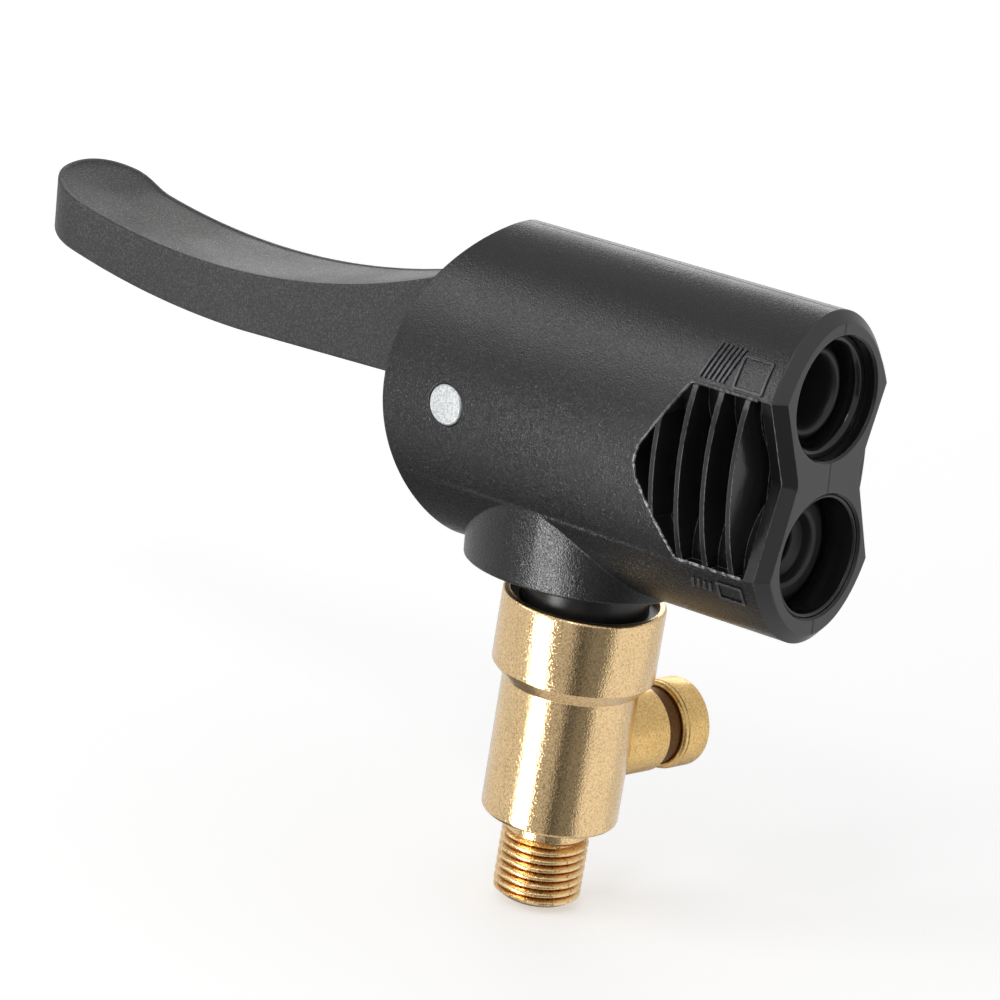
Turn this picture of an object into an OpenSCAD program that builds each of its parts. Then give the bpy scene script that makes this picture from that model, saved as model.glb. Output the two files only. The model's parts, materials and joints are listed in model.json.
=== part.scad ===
// Twin-port lever-lock tyre valve connector on a swivelling brass hose adapter with a bleed valve.
// The origin is the middle of the hose thread. +Z is up, +X is the port side, the lever points to -X.
// Sizes are in millimetres. The adapter's axis leans forward from the vertical by stem_lean.

/* [Hose thread] */
// Outside diameter of the hose thread
thread_d = 9.9; // [8:0.1:14]
// Length of the hose thread
thread_len = 9; // [6:0.1:14]
// Chamfer on the end of the hose thread
thread_chamfer = 0.6; // [0.2:0.1:1.2]
// Relief neck above the thread, diameter
neck_d = 9.4; // [7:0.1:13]
// Relief neck above the thread, length
neck_len = 1.1; // [0.5:0.1:3]
// Air bore through the adapter
air_bore_d = 4.4; // [2:0.1:5]

/* [Brass adapter] */
// Forward lean of the adapter's axis, in degrees
stem_lean = 4.54; // [0:0.01:8]
// Diameter of the adapter's body
body_d = 15.4; // [13:0.1:20]
// Length of the adapter's body
body_len = 15.9; // [13:0.1:24]
// Height of the cone between body and collar
cone_len = 1.6; // [0.8:0.1:3]
// Diameter of the swivel collar
collar_d = 18.3; // [16:0.1:24]
// Height of the swivel collar
collar_len = 8.5; // [7.5:0.1:14]
// Counterbore in the collar's rim, diameter
rim_bore_d = 16.6; // [15.4:0.1:20]
// Counterbore in the collar's rim, depth
rim_bore_len = 2; // [1.5:0.1:3]
// Small chamfer on turned edges
turned_chamfer = 0.3; // [0.1:0.05:0.6]

/* [Swivel joint] */
// Diameter of the head's swivel stub
stub_d = 14.4; // [12:0.1:18]
// Air bore in the swivel stub
stub_bore_d = 8.4; // [5:0.1:10]
// Length of stub that shows between the collar and the head
stub_show = 2.1; // [0.5:0.1:6]
// Floor left under the stub, inside the collar
stub_end_gap = 0.3; // [0.2:0.05:1]
// Snap ring thickness
snap_t = 0.8; // [0.5:0.05:1.5]
// Snap ring reach into the collar's wall
snap_reach = 0.5; // [0.3:0.05:0.8]
// Split in the snap ring
snap_split = 2; // [1:0.1:5]
// Rubber cord diameter of the stub's O-ring
stub_seal_cord = 1.36; // [1:0.02:2]
// Thickness of the dust seal
dust_seal_t = 1.2; // [0.8:0.1:1.5]

/* [Bleed valve] */
// Height of the bleed valve above the middle of the thread
bleed_z = 14; // [12:0.1:18]
// Turn of the bleed valve about the adapter, from the port side, in degrees
bleed_turn = 82; // [0:1:180]
// Diameter of the brazed boss
bleed_boss_d = 9.9; // [8:0.1:12]
// Reach of the brazed boss from the adapter's axis
bleed_boss_reach = 12.3; // [9:0.1:16]
// Diameter of the guide neck
bleed_neck_d = 8.8; // [7:0.1:11]
// Length of the guide neck
bleed_neck_len = 3.1; // [2:0.1:5]
// Diameter of the push button
button_d = 10.2; // [8.5:0.1:14]
// Length of the push button
button_len = 4; // [3:0.1:7]
// Thickness of the push button's end
button_end_t = 1.3; // [0.8:0.1:2]
// Free gap between the boss and the push button
button_gap = 2; // [1.6:0.1:4]
// Travel of the push button
button_travel = 1.4; // [0.5:0.1:1.6]
// Diameter of the push button's stem
bleed_stem_d = 2.5; // [1.5:0.1:3.2]
// Diameter of the poppet
poppet_d = 4.2; // [3.4:0.1:4.8]
// Thickness of the poppet
poppet_t = 1.2; // [0.8:0.1:2]
// Thread diameter of the valve cartridge
cartridge_d = 6.4; // [5.4:0.1:7.5]
// Distance from the adapter's axis to the cartridge's inner end
cartridge_in = 5; // [4:0.1:6]
// Diameter of the valve chamber
chamber_d = 5.2; // [4.8:0.1:6]
// Thickness of the rubber valve seat
bleed_seat_t = 0.8; // [0.5:0.1:1.2]
// Wire diameter of the return spring
spring_wire = 0.7; // [0.4:0.05:0.9]
// Outside diameter of the return spring
spring_d = 6.2; // [4.6:0.1:6.6]
// Turns of the return spring
spring_turns = 2.5; // [2:0.25:3]
// Depth of the spring's pocket in the guide neck
spring_pocket = 2.4; // [1.5:0.1:2.8]

/* [Barrel] */
// Width of the barrel across its oval
barrel_w = 23.2; // [20:0.1:30]
// Height of the barrel's oval
barrel_h = 36.8; // [34:0.1:46]
// Drop of the oval's middle below the head's centre
barrel_drop = 0.2; // [0:0.1:1]
// Front face, forward of the head's centre
face_x = 29.2; // [26:0.1:36]
// Radius of the rounded rear end, seen from the side
rear_r = 27.5; // [24:0.1:40]
// Rearmost point, behind the head's centre
rear_x = 23.6; // [20:0.1:30]
// Drop of the rear end's round centre
rear_drop = 1.8; // [0:0.1:4]
// Bevel round the front face
face_bevel = 1.3; // [0.5:0.1:2]
// Length of the oval boss under the barrel
boss_l = 26.8; // [20:0.1:32]
// Width of the oval boss under the barrel
boss_w = 19.4; // [16:0.1:22]
// Middle of the boss, behind the head's centre
boss_back = 4; // [0:0.1:8]
// Height of the head's centre above the boss's underside, along the adapter's axis
head_rise = 19.3; // [18.6:0.1:26]

/* [Ports] */
// Distance between the two ports
port_pitch = 17.4; // [15.6:0.1:20]
// Mouth diameter of the ports
port_d = 13.6; // [12.6:0.1:15]
// Depth of the ring's seat behind the face
ring_seat_depth = 5.2; // [4:0.1:7]
// Bore round the gaskets
gasket_bore_d = 13.2; // [12.4:0.1:14]
// Length of the gasket's body
gasket_len = 5; // [4:0.1:7]
// Hole in the car-valve gasket
upper_hole_d = 7.7; // [7:0.1:8.4]
// Hole in the slim-valve gasket
lower_hole_d = 5.2; // [4.4:0.1:6.4]
// Mouth of the slim-valve gasket
lower_mouth_d = 7.5; // [6.6:0.1:9]
// Nose of the car-valve gasket, diameter
nose_d = 10.7; // [10:0.1:11.3]
// Nose of the car-valve gasket, length past the ring's seat
nose_len = 1.9; // [1:0.1:3]
// Inside diameter of the upper ring
upper_ring_id = 11.5; // [11.4:0.1:12.2]
// Length of the upper ring
upper_ring_len = 3.6; // [2:0.1:4.5]
// Inside diameter of the lower ring
lower_ring_id = 12.7; // [12.3:0.1:12.9]
// Length of the lower ring
lower_ring_len = 3.7; // [2:0.1:4.2]
// Diameter of the air ways between the stub and the port bores
air_way_d = 3; // [2:0.1:3.6]

/* [Side recess] */
// Rear point of the recess, forward of the head's centre
recess_point_x = 11.5; // [9:0.1:14]
// Rear corners of the recess, forward of the head's centre
recess_corner_x = 17.4; // [15:0.1:19]
// Top edge of the recess
recess_top = 9.3; // [7:0.1:11]
// Bottom edge of the recess
recess_bottom = 10.3; // [7:0.1:11.5]
// Thickness of the notched front flange
flange_t = 2.6; // [1.8:0.1:4]
// Half width of the flange at the bottom of its notch
notch_half_w = 6.5; // [5.6:0.1:8]
// Wall left round the gasket bores
lobe_wall = 1.6; // [1:0.1:2]
// Half width of the web between the two bores
web_half_w = 5.6; // [3.5:0.1:6]
// Thickness of a grip rib
rib_t = 0.8; // [0.5:0.05:1.4]
// Spacing of the grip ribs
rib_pitch = 3.5; // [2.5:0.1:5]
// Number of grip ribs
rib_count = 4; // [2:1:5]
// Gap between the last rib and the flange
rib_front_gap = 1.2; // [0.8:0.1:2]

/* [Lever] */
// Width of the lever
lever_w = 13.8; // [11:0.1:15]
// Distance from the pivot to the lever's tip
lever_reach = 69; // [50:0.1:90]
// Radius of the dished top
dish_r = 94.6; // [70:0.1:140]
// Lowest point of the dish, behind the pivot
dish_x = 40.7; // [30:0.1:50]
// Height of the dish's lowest point above the pivot
dish_z = 6; // [5:0.1:9]
// Radius of the curved underside
belly_r = 116; // [90:1:160]
// Lowest point of the underside, behind the pivot
belly_x = 35.2; // [28:0.1:45]
// Depth of the underside's lowest point below the pivot
belly_z = 0.66; // [0:0.01:1]
// Height of the underside's straight end, at the pivot
root_z = 0.23; // [0:0.01:0.8]
// Radius of the tip's lower corner, seen from the side
tip_side_r = 2.4; // [1:0.1:3]
// Start of the upturned tip, behind the pivot
hook_x = 59.5; // [50:0.1:64]
// Radius of the upturned tip
hook_r = 32; // [24:0.5:80]
// Angle from open to locked, in degrees
lever_swing = 55; // [40:1:56]

/* [Pivot and cam] */
// Diameter of the pivot pin
pin_d = 4.6; // [3:0.1:6]
// How far each pin end stands proud
pin_proud = 0.15; // [0:0.05:0.5]
// Pivot, behind the head's centre
pivot_x = 14.5; // [13:0.1:16]
// Pivot, below the head's centre
pivot_drop = 1; // [0:0.1:2]
// Wall of the bush in the lever
bush_wall = 0.8; // [0.5:0.1:1.5]
// Radius of the cam's round side
cam_r = 9.6; // [8.5:0.1:10]
// Travel that the cam gives the plungers
cam_travel = 2.2; // [1:0.1:2.4]
// Width of the cam chamber
chamber_w = 14.2; // [12:0.1:16]
// Half height of the cam chamber
chamber_half_h = 12.5; // [11:0.1:13]

/* [Pressure bridge and plungers] */
// Thickness of the bridge
bridge_t = 3; // [2:0.1:4]
// Width of the bridge
bridge_w = 11.6; // [9:0.1:13]
// Half height of the bridge
bridge_half_h = 12.2; // [11:0.1:12.3]
// Diameter of the spigot that holds a plunger
spigot_d = 4; // [3:0.1:5]
// Length of the spigot
spigot_len = 2.2; // [1.5:0.1:2.6]
// Diameter of the plunger's head
plunger_d = 12; // [11:0.1:12.6]
// Length of the plunger's head
plunger_head_len = 6; // [5:0.1:8]
// Diameter of the plunger's shank
shank_d = 10; // [8:0.1:10.4]
// Air bore in the plunger
plunger_bore_d = 4; // [3:0.1:5]
// Cord diameter of the plunger's O-ring
plunger_seal_cord = 1.5; // [1:0.05:2]
// Thickness of the pressure washer
washer_t = 0.8; // [0.5:0.1:1.5]
// Hole in the pressure washer
washer_id = 5.2; // [4.2:0.1:6]
// Diameter of the depressor pin
depressor_d = 2; // [1.5:0.1:3]
// How far the depressor stands past the washer
depressor_show = 1.6; // [0.5:0.1:3]

/* [Fits] */
// Radial clearance of running fits
run_fit = 0.05; // [0.02:0.01:0.1]
// Radial clearance of fixed fits
tight_fit = 0.02; // [0.01:0.005:0.05]
// Clearance at the ends of a stroke
stroke_gap = 0.1; // [0.05:0.01:0.3]

/* [Hidden] */
$fn = 96;
eps = 0.5;

// Heights along the adapter's own axis, from the middle of the thread
thread_top = thread_len / 2;
body_bottom = thread_top + neck_len;
body_top = body_bottom + body_len;
collar_bottom = body_top + cone_len;
rim_z = collar_bottom + collar_len;
boss_z = rim_z + stub_show;
head_z = boss_z + head_rise;
cup_floor = collar_bottom + 0.2;
stub_end = cup_floor + stub_end_gap;
snap_z = stub_end + 0.7;
stub_r = stub_d / 2;
cup_r = stub_r + run_fit;
seal_z = snap_z + snap_t + 1.7;
seal_mid_r = cup_r - tight_fit - stub_seal_cord / 2;
stub_groove_r = seal_mid_r - stub_seal_cord / 2 - tight_fit;
snap_groove_r = stub_r - 0.6;

// Distances along the bleed valve's axis, from the adapter's axis
neck_end = bleed_boss_reach + bleed_neck_len;
button_in = bleed_boss_reach + button_gap;
button_out = button_in + button_len;
button_floor = button_out - button_end_t;
pocket_floor = neck_end - spring_pocket;
seat_in = cartridge_in - bleed_seat_t;
spring_len = button_floor - button_travel - stroke_gap - pocket_floor;

// Places in the head, from the head's centre
port_z = port_pitch / 2;
half_w = barrel_w / 2;
half_h = barrel_h / 2;
ring_seat_x = face_x - ring_seat_depth;
gasket_back_x = ring_seat_x - gasket_len;
washer_x = gasket_back_x - cam_travel - stroke_gap - washer_t;
bridge_x = -pivot_x + cam_r + stroke_gap;
plunger_x = bridge_x + bridge_t;
bore_r = plunger_d / 2 + run_fit;
gasket_r = gasket_bore_d / 2 - stroke_gap;
seal_x = plunger_x + plunger_head_len - 1.7;
chamber_front = plunger_x + cam_travel + 0.6;
air_x = plunger_x + plunger_head_len + cam_travel + air_way_d / 2 - 0.4;
way_start = 1.2;
nose_round = 1.6;
lobe_r = gasket_bore_d / 2 + lobe_wall;
flange_x = face_x - flange_t;
rear_mid_x = rear_r - rear_x;
last_rib_x = flange_x - rib_front_gap - rib_t / 2;
cam_rate = cam_travel / (lever_swing * PI / 180);
bush_r = pin_d / 2 + run_fit + bush_wall;
hook_sin = (hook_x - dish_x) / dish_r;
hook_cos = sqrt(1 - hook_sin * hook_sin);
hook_low = dish_z + dish_r * (1 - hook_cos) - tight_fit;
root_top = chamber_half_h + pivot_drop - 0.9;
tip_mid_x = lever_reach + run_fit - tip_side_r;
tip_mid_z = belly_r - belly_z - sqrt(pow(belly_r - tip_side_r, 2) - pow(tip_mid_x - belly_x, 2)) - tight_fit;

// Half width of the barrel's oval at a height
function oval_y(z) = half_w * sqrt(1 - pow((z + barrel_drop) / half_h, 2));
// Point on the cam whose outward normal is at angle a, where the reach grows evenly with the turn
function cam_point(a) = let (h = cam_r - cam_rate * a * PI / 180)
    [h * cos(a) + cam_rate * sin(a), h * sin(a) - cam_rate * cos(a)];

// Children stand on the adapter's leaning axis
module on_stem() rotate([0, stem_lean, 0]) children();
// Children are placed from the head's centre
module in_head() translate([head_z * sin(stem_lean), 0, head_z * cos(stem_lean)]) children();
// Children made along +Z lie along the bleed valve's axis
module on_bleed() on_stem() translate([0, 0, bleed_z]) rotate([0, 0, bleed_turn]) rotate([0, 90, 0]) children();
// Children made along +Z lie along +X in the head, at a height
module bore_line(z) in_head() translate([0, 0, z]) rotate([0, 90, 0]) children();
// Outlines drawn with X and Z are given a width about the head's middle plane
module side_prism(w) rotate([90, 0, 0]) translate([0, 0, -w / 2]) linear_extrude(height = w) children();
// A ring of round section about +Z
module cord_ring(mid_r, cord) rotate_extrude() translate([mid_r, 0]) circle(d = cord, $fn = 32);
// A ring of square section about +Z
module band(inner_r, outer_r, len) difference() {
    cylinder(r = outer_r, h = len);
    translate([0, 0, -eps]) cylinder(r = inner_r, h = len + 2 * eps);
}

// Turned outline of the adapter, radius against height
module adapter_outline() polygon([[0, -thread_len / 2], [thread_d / 2 - thread_chamfer, -thread_len / 2],
    [thread_d / 2, thread_chamfer - thread_len / 2], [thread_d / 2, thread_top], [neck_d / 2, thread_top],
    [neck_d / 2, body_bottom], [body_d / 2 - turned_chamfer, body_bottom],
    [body_d / 2, body_bottom + turned_chamfer], [body_d / 2, body_top], [collar_d / 2, collar_bottom],
    [collar_d / 2, rim_z - turned_chamfer], [collar_d / 2 - turned_chamfer, rim_z], [0, rim_z]]);

module adapter_body() color("goldenrod") difference() {
    union() {
        on_stem() rotate_extrude() adapter_outline();
        on_bleed() cylinder(d = bleed_boss_d, h = bleed_boss_reach);
    }
    on_stem() translate([0, 0, -thread_len]) cylinder(d = air_bore_d, h = cup_floor + thread_len + eps);
    on_stem() translate([0, 0, cup_floor]) cylinder(r = cup_r, h = rim_z - cup_floor + eps);
    on_stem() translate([0, 0, rim_z - rim_bore_len]) cylinder(d = rim_bore_d, h = rim_bore_len + eps);
    on_stem() translate([0, 0, snap_z - stroke_gap / 2])
        cylinder(r = cup_r + snap_reach, h = snap_t + stroke_gap);
    on_bleed() cylinder(d = chamber_d, h = cartridge_in + eps);
    on_bleed() translate([0, 0, cartridge_in]) cylinder(d = cartridge_d, h = bleed_boss_reach);
}

module stub_dust_seal() color("dimgray") on_stem() translate([0, 0, rim_z - rim_bore_len])
    band(stub_r + run_fit, rim_bore_d / 2 - tight_fit, dust_seal_t);

module snap_ring() color("lightsteelblue") on_stem() translate([0, 0, snap_z]) difference() {
    band(snap_groove_r + run_fit, cup_r + snap_reach - run_fit, snap_t);
    translate([0, -snap_split / 2, -eps]) cube([collar_d, snap_split, snap_t + 2 * eps]);
}

module bleed_cartridge() color("darkgoldenrod") on_bleed() difference() {
    union() {
        translate([0, 0, cartridge_in]) cylinder(d = cartridge_d - 2 * tight_fit, h = neck_end - cartridge_in);
        translate([0, 0, bleed_boss_reach]) cylinder(d = bleed_neck_d, h = bleed_neck_len);
    }
    cylinder(r = bleed_stem_d / 2 + run_fit, h = neck_end + eps);
    translate([0, 0, pocket_floor]) cylinder(r = spring_d / 2 + 2 * run_fit, h = spring_pocket + eps);
}

module bleed_seat() color("dimgray") on_bleed() translate([0, 0, seat_in])
    band(bleed_stem_d / 2 + run_fit, chamber_d / 2 - tight_fit, bleed_seat_t);

// Open coil about +Z with its ends in the end planes of len
module coil(mid_r, wire, turns, len) {
    steps = ceil(turns * 18);
    sides = 6;
    rise = len - wire;
    points = [for (i = [0 : steps], k = [0 : sides - 1])
        let (t = i / steps, a = 360 * turns * t, r = mid_r + wire / 2 * cos(60 * k))
        [r * cos(a), r * sin(a), wire / 2 + rise * t + wire / 2 * sin(60 * k)]];
    sides_a = [for (i = [0 : steps - 1], k = [0 : sides - 1]) let (n = (k + 1) % sides)
        [i * sides + k, (i + 1) * sides + k, (i + 1) * sides + n]];
    sides_b = [for (i = [0 : steps - 1], k = [0 : sides - 1]) let (n = (k + 1) % sides)
        [i * sides + k, (i + 1) * sides + n, i * sides + n]];
    caps = [[for (k = [0 : sides - 1]) k], [for (k = [sides - 1 : -1 : 0]) steps * sides + k]];
    polyhedron(points = points, faces = concat(sides_a, sides_b, caps), convexity = 6);
}

module bleed_spring() color("silver") on_bleed() translate([0, 0, pocket_floor])
    coil((spring_d - spring_wire) / 2, spring_wire, spring_turns, spring_len);

module bleed_button() color("gold") on_bleed() difference() {
    translate([0, 0, button_in]) rotate_extrude() polygon([[0, 0], [button_d / 2, 0],
        [button_d / 2, button_len - 2 * turned_chamfer], [button_d / 2 - 2 * turned_chamfer, button_len],
        [0, button_len]]);
    translate([0, 0, button_in - eps])
        cylinder(r = bleed_neck_d / 2 + run_fit, h = button_floor - button_in + eps);
    cylinder(d = bleed_stem_d, h = button_out - 0.4);
}

module bleed_stem() color("gold") on_bleed() translate([0, 0, seat_in - poppet_t]) {
    cylinder(d = poppet_d, h = poppet_t);
    cylinder(r = bleed_stem_d / 2 - tight_fit, h = button_out - 0.4 - seat_in + poppet_t);
}

// Oval barrel along +X with its bevelled face, rounded at the rear
module barrel() in_head() intersection() {
    translate([0, 0, -barrel_drop]) scale([1, half_w / half_h, 1]) rotate([0, 90, 0]) rotate_extrude()
        polygon([[0, -rear_x - 2], [half_h, -rear_x - 2], [half_h, face_x - face_bevel],
            [half_h - face_bevel, face_x], [0, face_x]]);
    union() {
        translate([rear_mid_x, 0, -rear_drop]) rotate([90, 0, 0])
            cylinder(r = rear_r, h = 2 * barrel_w, center = true, $fn = 180);
        translate([rear_mid_x, -barrel_w, -half_h - barrel_drop - 2])
            cube([face_x - rear_mid_x + 2, 2 * barrel_w, barrel_h + 4]);
    }
}

// Oval boss that carries the swivel stub
module boss() in_head() translate([-boss_back, 0, -head_rise * cos(stem_lean)])
    scale([1, boss_w / boss_l, 1]) cylinder(d = boss_l, h = head_rise * cos(stem_lean) - pivot_drop);

module stub() on_stem() translate([0, 0, stub_end]) cylinder(r = stub_r, h = boss_z - stub_end + 3);

// Side outline of the grip recess
module recess_outline() polygon([[recess_point_x, 0], [recess_corner_x, recess_top], [flange_x, recess_top],
    [flange_x, -recess_bottom], [recess_corner_x, -recess_bottom]]);

// Walls that the two bores keep inside the recess
module lobes() {
    for (z = [-port_z, port_z]) translate([0, 0, z]) rotate([0, 90, 0]) cylinder(r = lobe_r, h = face_x);
    translate([0, -web_half_w, -port_z]) cube([face_x, 2 * web_half_w, port_pitch]);
}

module ribs() for (i = [0 : rib_count - 1])
    translate([last_rib_x - i * rib_pitch - rib_t / 2, -barrel_w, -barrel_h])
        cube([rib_t, 2 * barrel_w, 2 * barrel_h]);

// Wedge outline that is cut from one side of the flange
module notch_outline(shift) polygon([[notch_half_w - shift, 0], [oval_y(recess_top) - shift, recess_top],
    [barrel_w, recess_top], [barrel_w, -recess_bottom], [oval_y(-recess_bottom) - shift, -recess_bottom]]);

// Notch in one side of the flange, bevelled at the face
module notch() {
    notch_slab(flange_x - eps / 5, flange_t + eps, 0);
    hull() {
        notch_slab(face_x - face_bevel, 0.01, 0);
        notch_slab(face_x, 0.01, face_bevel);
    }
}
module notch_slab(x, len, shift) translate([x, 0, 0]) rotate([90, 0, 90])
    linear_extrude(height = len) notch_outline(shift);

module grip_recess() in_head() {
    difference() {
        side_prism(2 * barrel_w) recess_outline();
        lobes();
        ribs();
    }
    notch();
    mirror([0, 1, 0]) notch();
}

// Bores, chamber and air ways that are cut from the head
module head_cuts() {
    in_head() translate([-rear_x - 5, -chamber_w / 2, -chamber_half_h])
        cube([rear_x + 5 + chamber_front, chamber_w, 2 * chamber_half_h]);
    for (z = [-port_z, port_z]) {
        bore_line(z) translate([0, 0, plunger_x - stroke_gap]) cylinder(r = bore_r, h = face_x);
        bore_line(z) translate([0, 0, washer_x - stroke_gap]) cylinder(d = gasket_bore_d, h = face_x);
        bore_line(z) translate([0, 0, ring_seat_x]) cylinder(d = port_d, h = face_x);
    }
    in_head() translate([-pivot_x, 0, -pivot_drop]) rotate([90, 0, 0])
        cylinder(r = pin_d / 2 + tight_fit, h = 2 * barrel_w, center = true);
    on_stem() translate([0, 0, stub_end - eps]) cylinder(d = stub_bore_d, h = boss_z - stub_end - 0.5);
    in_head() translate([air_x, 0, -port_z]) cylinder(d = air_way_d, h = port_pitch);
    in_head() slant_way();
    on_stem() translate([0, 0, seal_z - stub_seal_cord * 0.65])
        band(stub_groove_r, stub_r + eps, stub_seal_cord * 1.3);
    on_stem() translate([0, 0, snap_z - stroke_gap / 2]) band(snap_groove_r, stub_r + eps, snap_t + stroke_gap);
}

// Slanting air way from the stub's bore to the lower port bore
module slant_way() {
    run = air_x + head_rise * sin(stem_lean);
    rise = head_rise * cos(stem_lean) + way_start - port_z - bore_r + air_way_d / 4;
    translate([-head_rise * sin(stem_lean), 0, -head_rise * cos(stem_lean) - way_start])
        rotate([0, atan2(run, rise), 0]) cylinder(d = air_way_d, h = sqrt(run * run + rise * rise));
}

module head_housing() color("darkslategray") difference() {
    union() {
        barrel();
        boss();
        stub();
    }
    grip_recess();
    head_cuts();
}

module stub_seal() color("dimgray") on_stem() translate([0, 0, seal_z]) cord_ring(seal_mid_r, stub_seal_cord);

module pivot_pin() color("silver") in_head() translate([-pivot_x, 0, -pivot_drop]) rotate([90, 0, 0])
    cylinder(d = pin_d, h = barrel_w + 2 * pin_proud, center = true);

// Section of the car-valve gasket, radius against distance along the port
module upper_gasket_outline() {
    translate([upper_hole_d / 2, gasket_back_x]) square([gasket_r - upper_hole_d / 2, gasket_len]);
    intersection() {
        translate([upper_hole_d / 2, ring_seat_x - 1]) square([(nose_d - upper_hole_d) / 2, nose_len + 2]);
        union() {
            translate([upper_hole_d / 2 + nose_round - tight_fit, ring_seat_x + nose_len - nose_round])
                circle(r = nose_round, $fn = 48);
            translate([upper_hole_d / 2, ring_seat_x - 1]) square([nose_d, nose_len + 1.1 - nose_round]);
        }
    }
}

module upper_gasket() color("dimgray") bore_line(port_z) rotate_extrude() upper_gasket_outline();

// Section of the slim-valve gasket, with its wide mouth
module lower_gasket_outline() polygon([[lower_hole_d / 2, gasket_back_x], [gasket_r, gasket_back_x],
    [gasket_r, ring_seat_x], [gasket_r - 0.4, ring_seat_x + 0.8], [gasket_r - 1.1, ring_seat_x + 1.2],
    [lower_mouth_d / 2 + 0.6, ring_seat_x + 1.2], [lower_mouth_d / 2, ring_seat_x + 0.7],
    [lower_mouth_d / 2 - 0.2, ring_seat_x], [lower_hole_d / 2, ring_seat_x - 0.8]]);

module lower_gasket() color("dimgray") bore_line(-port_z) rotate_extrude() lower_gasket_outline();

module upper_port_ring() color("black") bore_line(port_z) rotate_extrude() polygon([
    [upper_ring_id / 2, ring_seat_x], [port_d / 2 - run_fit, ring_seat_x],
    [port_d / 2 - run_fit, ring_seat_x + upper_ring_len],
    [upper_ring_id / 2 + 0.35, ring_seat_x + upper_ring_len],
    [upper_ring_id / 2, ring_seat_x + upper_ring_len - 0.5]]);

module lower_port_ring() color("black") bore_line(-port_z) translate([0, 0, face_x - lower_ring_len - 0.3])
    band(lower_ring_id / 2, port_d / 2 - run_fit, lower_ring_len);

// Places from the pivot in the plane of the lever's side
module from_pivot() in_head() translate([-pivot_x, 0, -pivot_drop]) children();

// Curved blade: a dished top that hooks up at the tip, a bellied underside and a rounded lower tip corner
module blade_side() difference() {
    union() {
        intersection() {
            translate([-belly_x, belly_r - belly_z]) circle(r = belly_r, $fn = 360);
            translate([-tip_mid_x, -10]) square([tip_mid_x, 40]);
        }
        polygon([[0, root_z], [-belly_x, -belly_z], [-belly_x, dish_z / 2], [0, dish_z]]);
        translate([-tip_mid_x, tip_mid_z]) circle(r = tip_side_r, $fn = 48);
        translate([-tip_mid_x - tip_side_r, tip_mid_z]) square([2 * tip_side_r, 20]);
    }
    intersection() {
        translate([-dish_x, dish_z + dish_r]) circle(r = dish_r, $fn = 360);
        translate([-hook_x, 0]) square(lever_reach);
    }
    translate([-lever_reach, root_top]) square([2 * lever_reach, lever_reach]);
    intersection() {
        translate([hook_r * hook_sin - hook_x, hook_low + hook_r * hook_cos]) circle(r = hook_r, $fn = 180);
        translate([hook_r * hook_sin / 8 - hook_x - lever_reach, 0]) square(lever_reach);
    }
}

// Blade seen from above, with a full round tip
module blade_plan() {
    translate([lever_w / 2 - lever_reach, -lever_w / 2]) square([lever_reach, lever_w]);
    translate([lever_w / 2 - lever_reach, 0]) circle(d = lever_w);
}

// Cam: a round back and a front whose reach grows evenly as it turns
module cam_side() {
    circle(r = cam_r);
    polygon(concat([[0, 0], [cam_r, 0]], [for (i = [0 : 12]) cam_point(-lever_swing * i / 12)]));
}

module lever() color("slategray") from_pivot() difference() {
    union() {
        intersection() {
            side_prism(lever_w) blade_side();
            translate([0, 0, -lever_reach / 2]) linear_extrude(height = lever_reach) blade_plan();
        }
        side_prism(lever_w) cam_side();
    }
    rotate([90, 0, 0]) cylinder(r = bush_r, h = 2 * lever_w, center = true);
}

module lever_bush() color("peru") from_pivot() rotate([90, 0, 0]) translate([0, 0, -lever_w / 2])
    band(pin_d / 2 + run_fit, bush_r - tight_fit, lever_w);

// Bridge between the two plungers, pushed by the cam
module pressure_bridge() color("whitesmoke") in_head() difference() {
    translate([bridge_x, -bridge_w / 2, -bridge_half_h]) cube([bridge_t, bridge_w, 2 * bridge_half_h]);
    for (z = [-port_z, port_z]) translate([plunger_x - spigot_len - stroke_gap, 0, z]) rotate([0, 90, 0])
        cylinder(r = spigot_d / 2 + tight_fit, h = bridge_t);
}

// Plunger along +Z: spigot, sealed head, slim shank and air bores
module plunger() difference() {
    union() {
        translate([0, 0, plunger_x - spigot_len]) cylinder(d = spigot_d, h = spigot_len + 1);
        translate([0, 0, plunger_x]) cylinder(d = plunger_d, h = plunger_head_len);
        translate([0, 0, plunger_x]) cylinder(d = shank_d, h = washer_x - plunger_x);
    }
    translate([0, 0, seal_x - plunger_seal_cord * 0.6])
        band(bore_r - plunger_seal_cord - 2 * tight_fit, bore_r + eps, plunger_seal_cord * 1.2);
    translate([0, 0, air_x - 1]) cylinder(d = plunger_bore_d, h = face_x);
    translate([0, 0, air_x + 0.4]) rotate([90, 0, 0]) cylinder(r = 1.2, h = 2 * shank_d, center = true);
}

module upper_plunger() color("gainsboro") bore_line(port_z) plunger();
module lower_plunger() color("gainsboro") bore_line(-port_z) plunger();

module plunger_seal(z) color("dimgray") bore_line(z) translate([0, 0, seal_x])
    cord_ring(bore_r - tight_fit - plunger_seal_cord / 2, plunger_seal_cord);
module upper_plunger_seal() plunger_seal(port_z);
module lower_plunger_seal() plunger_seal(-port_z);

module washer(z) color("silver") bore_line(z) translate([0, 0, washer_x])
    band(washer_id / 2, gasket_bore_d / 2 - 2 * run_fit, washer_t);
module upper_washer() washer(port_z);
module lower_washer() washer(-port_z);

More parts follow.
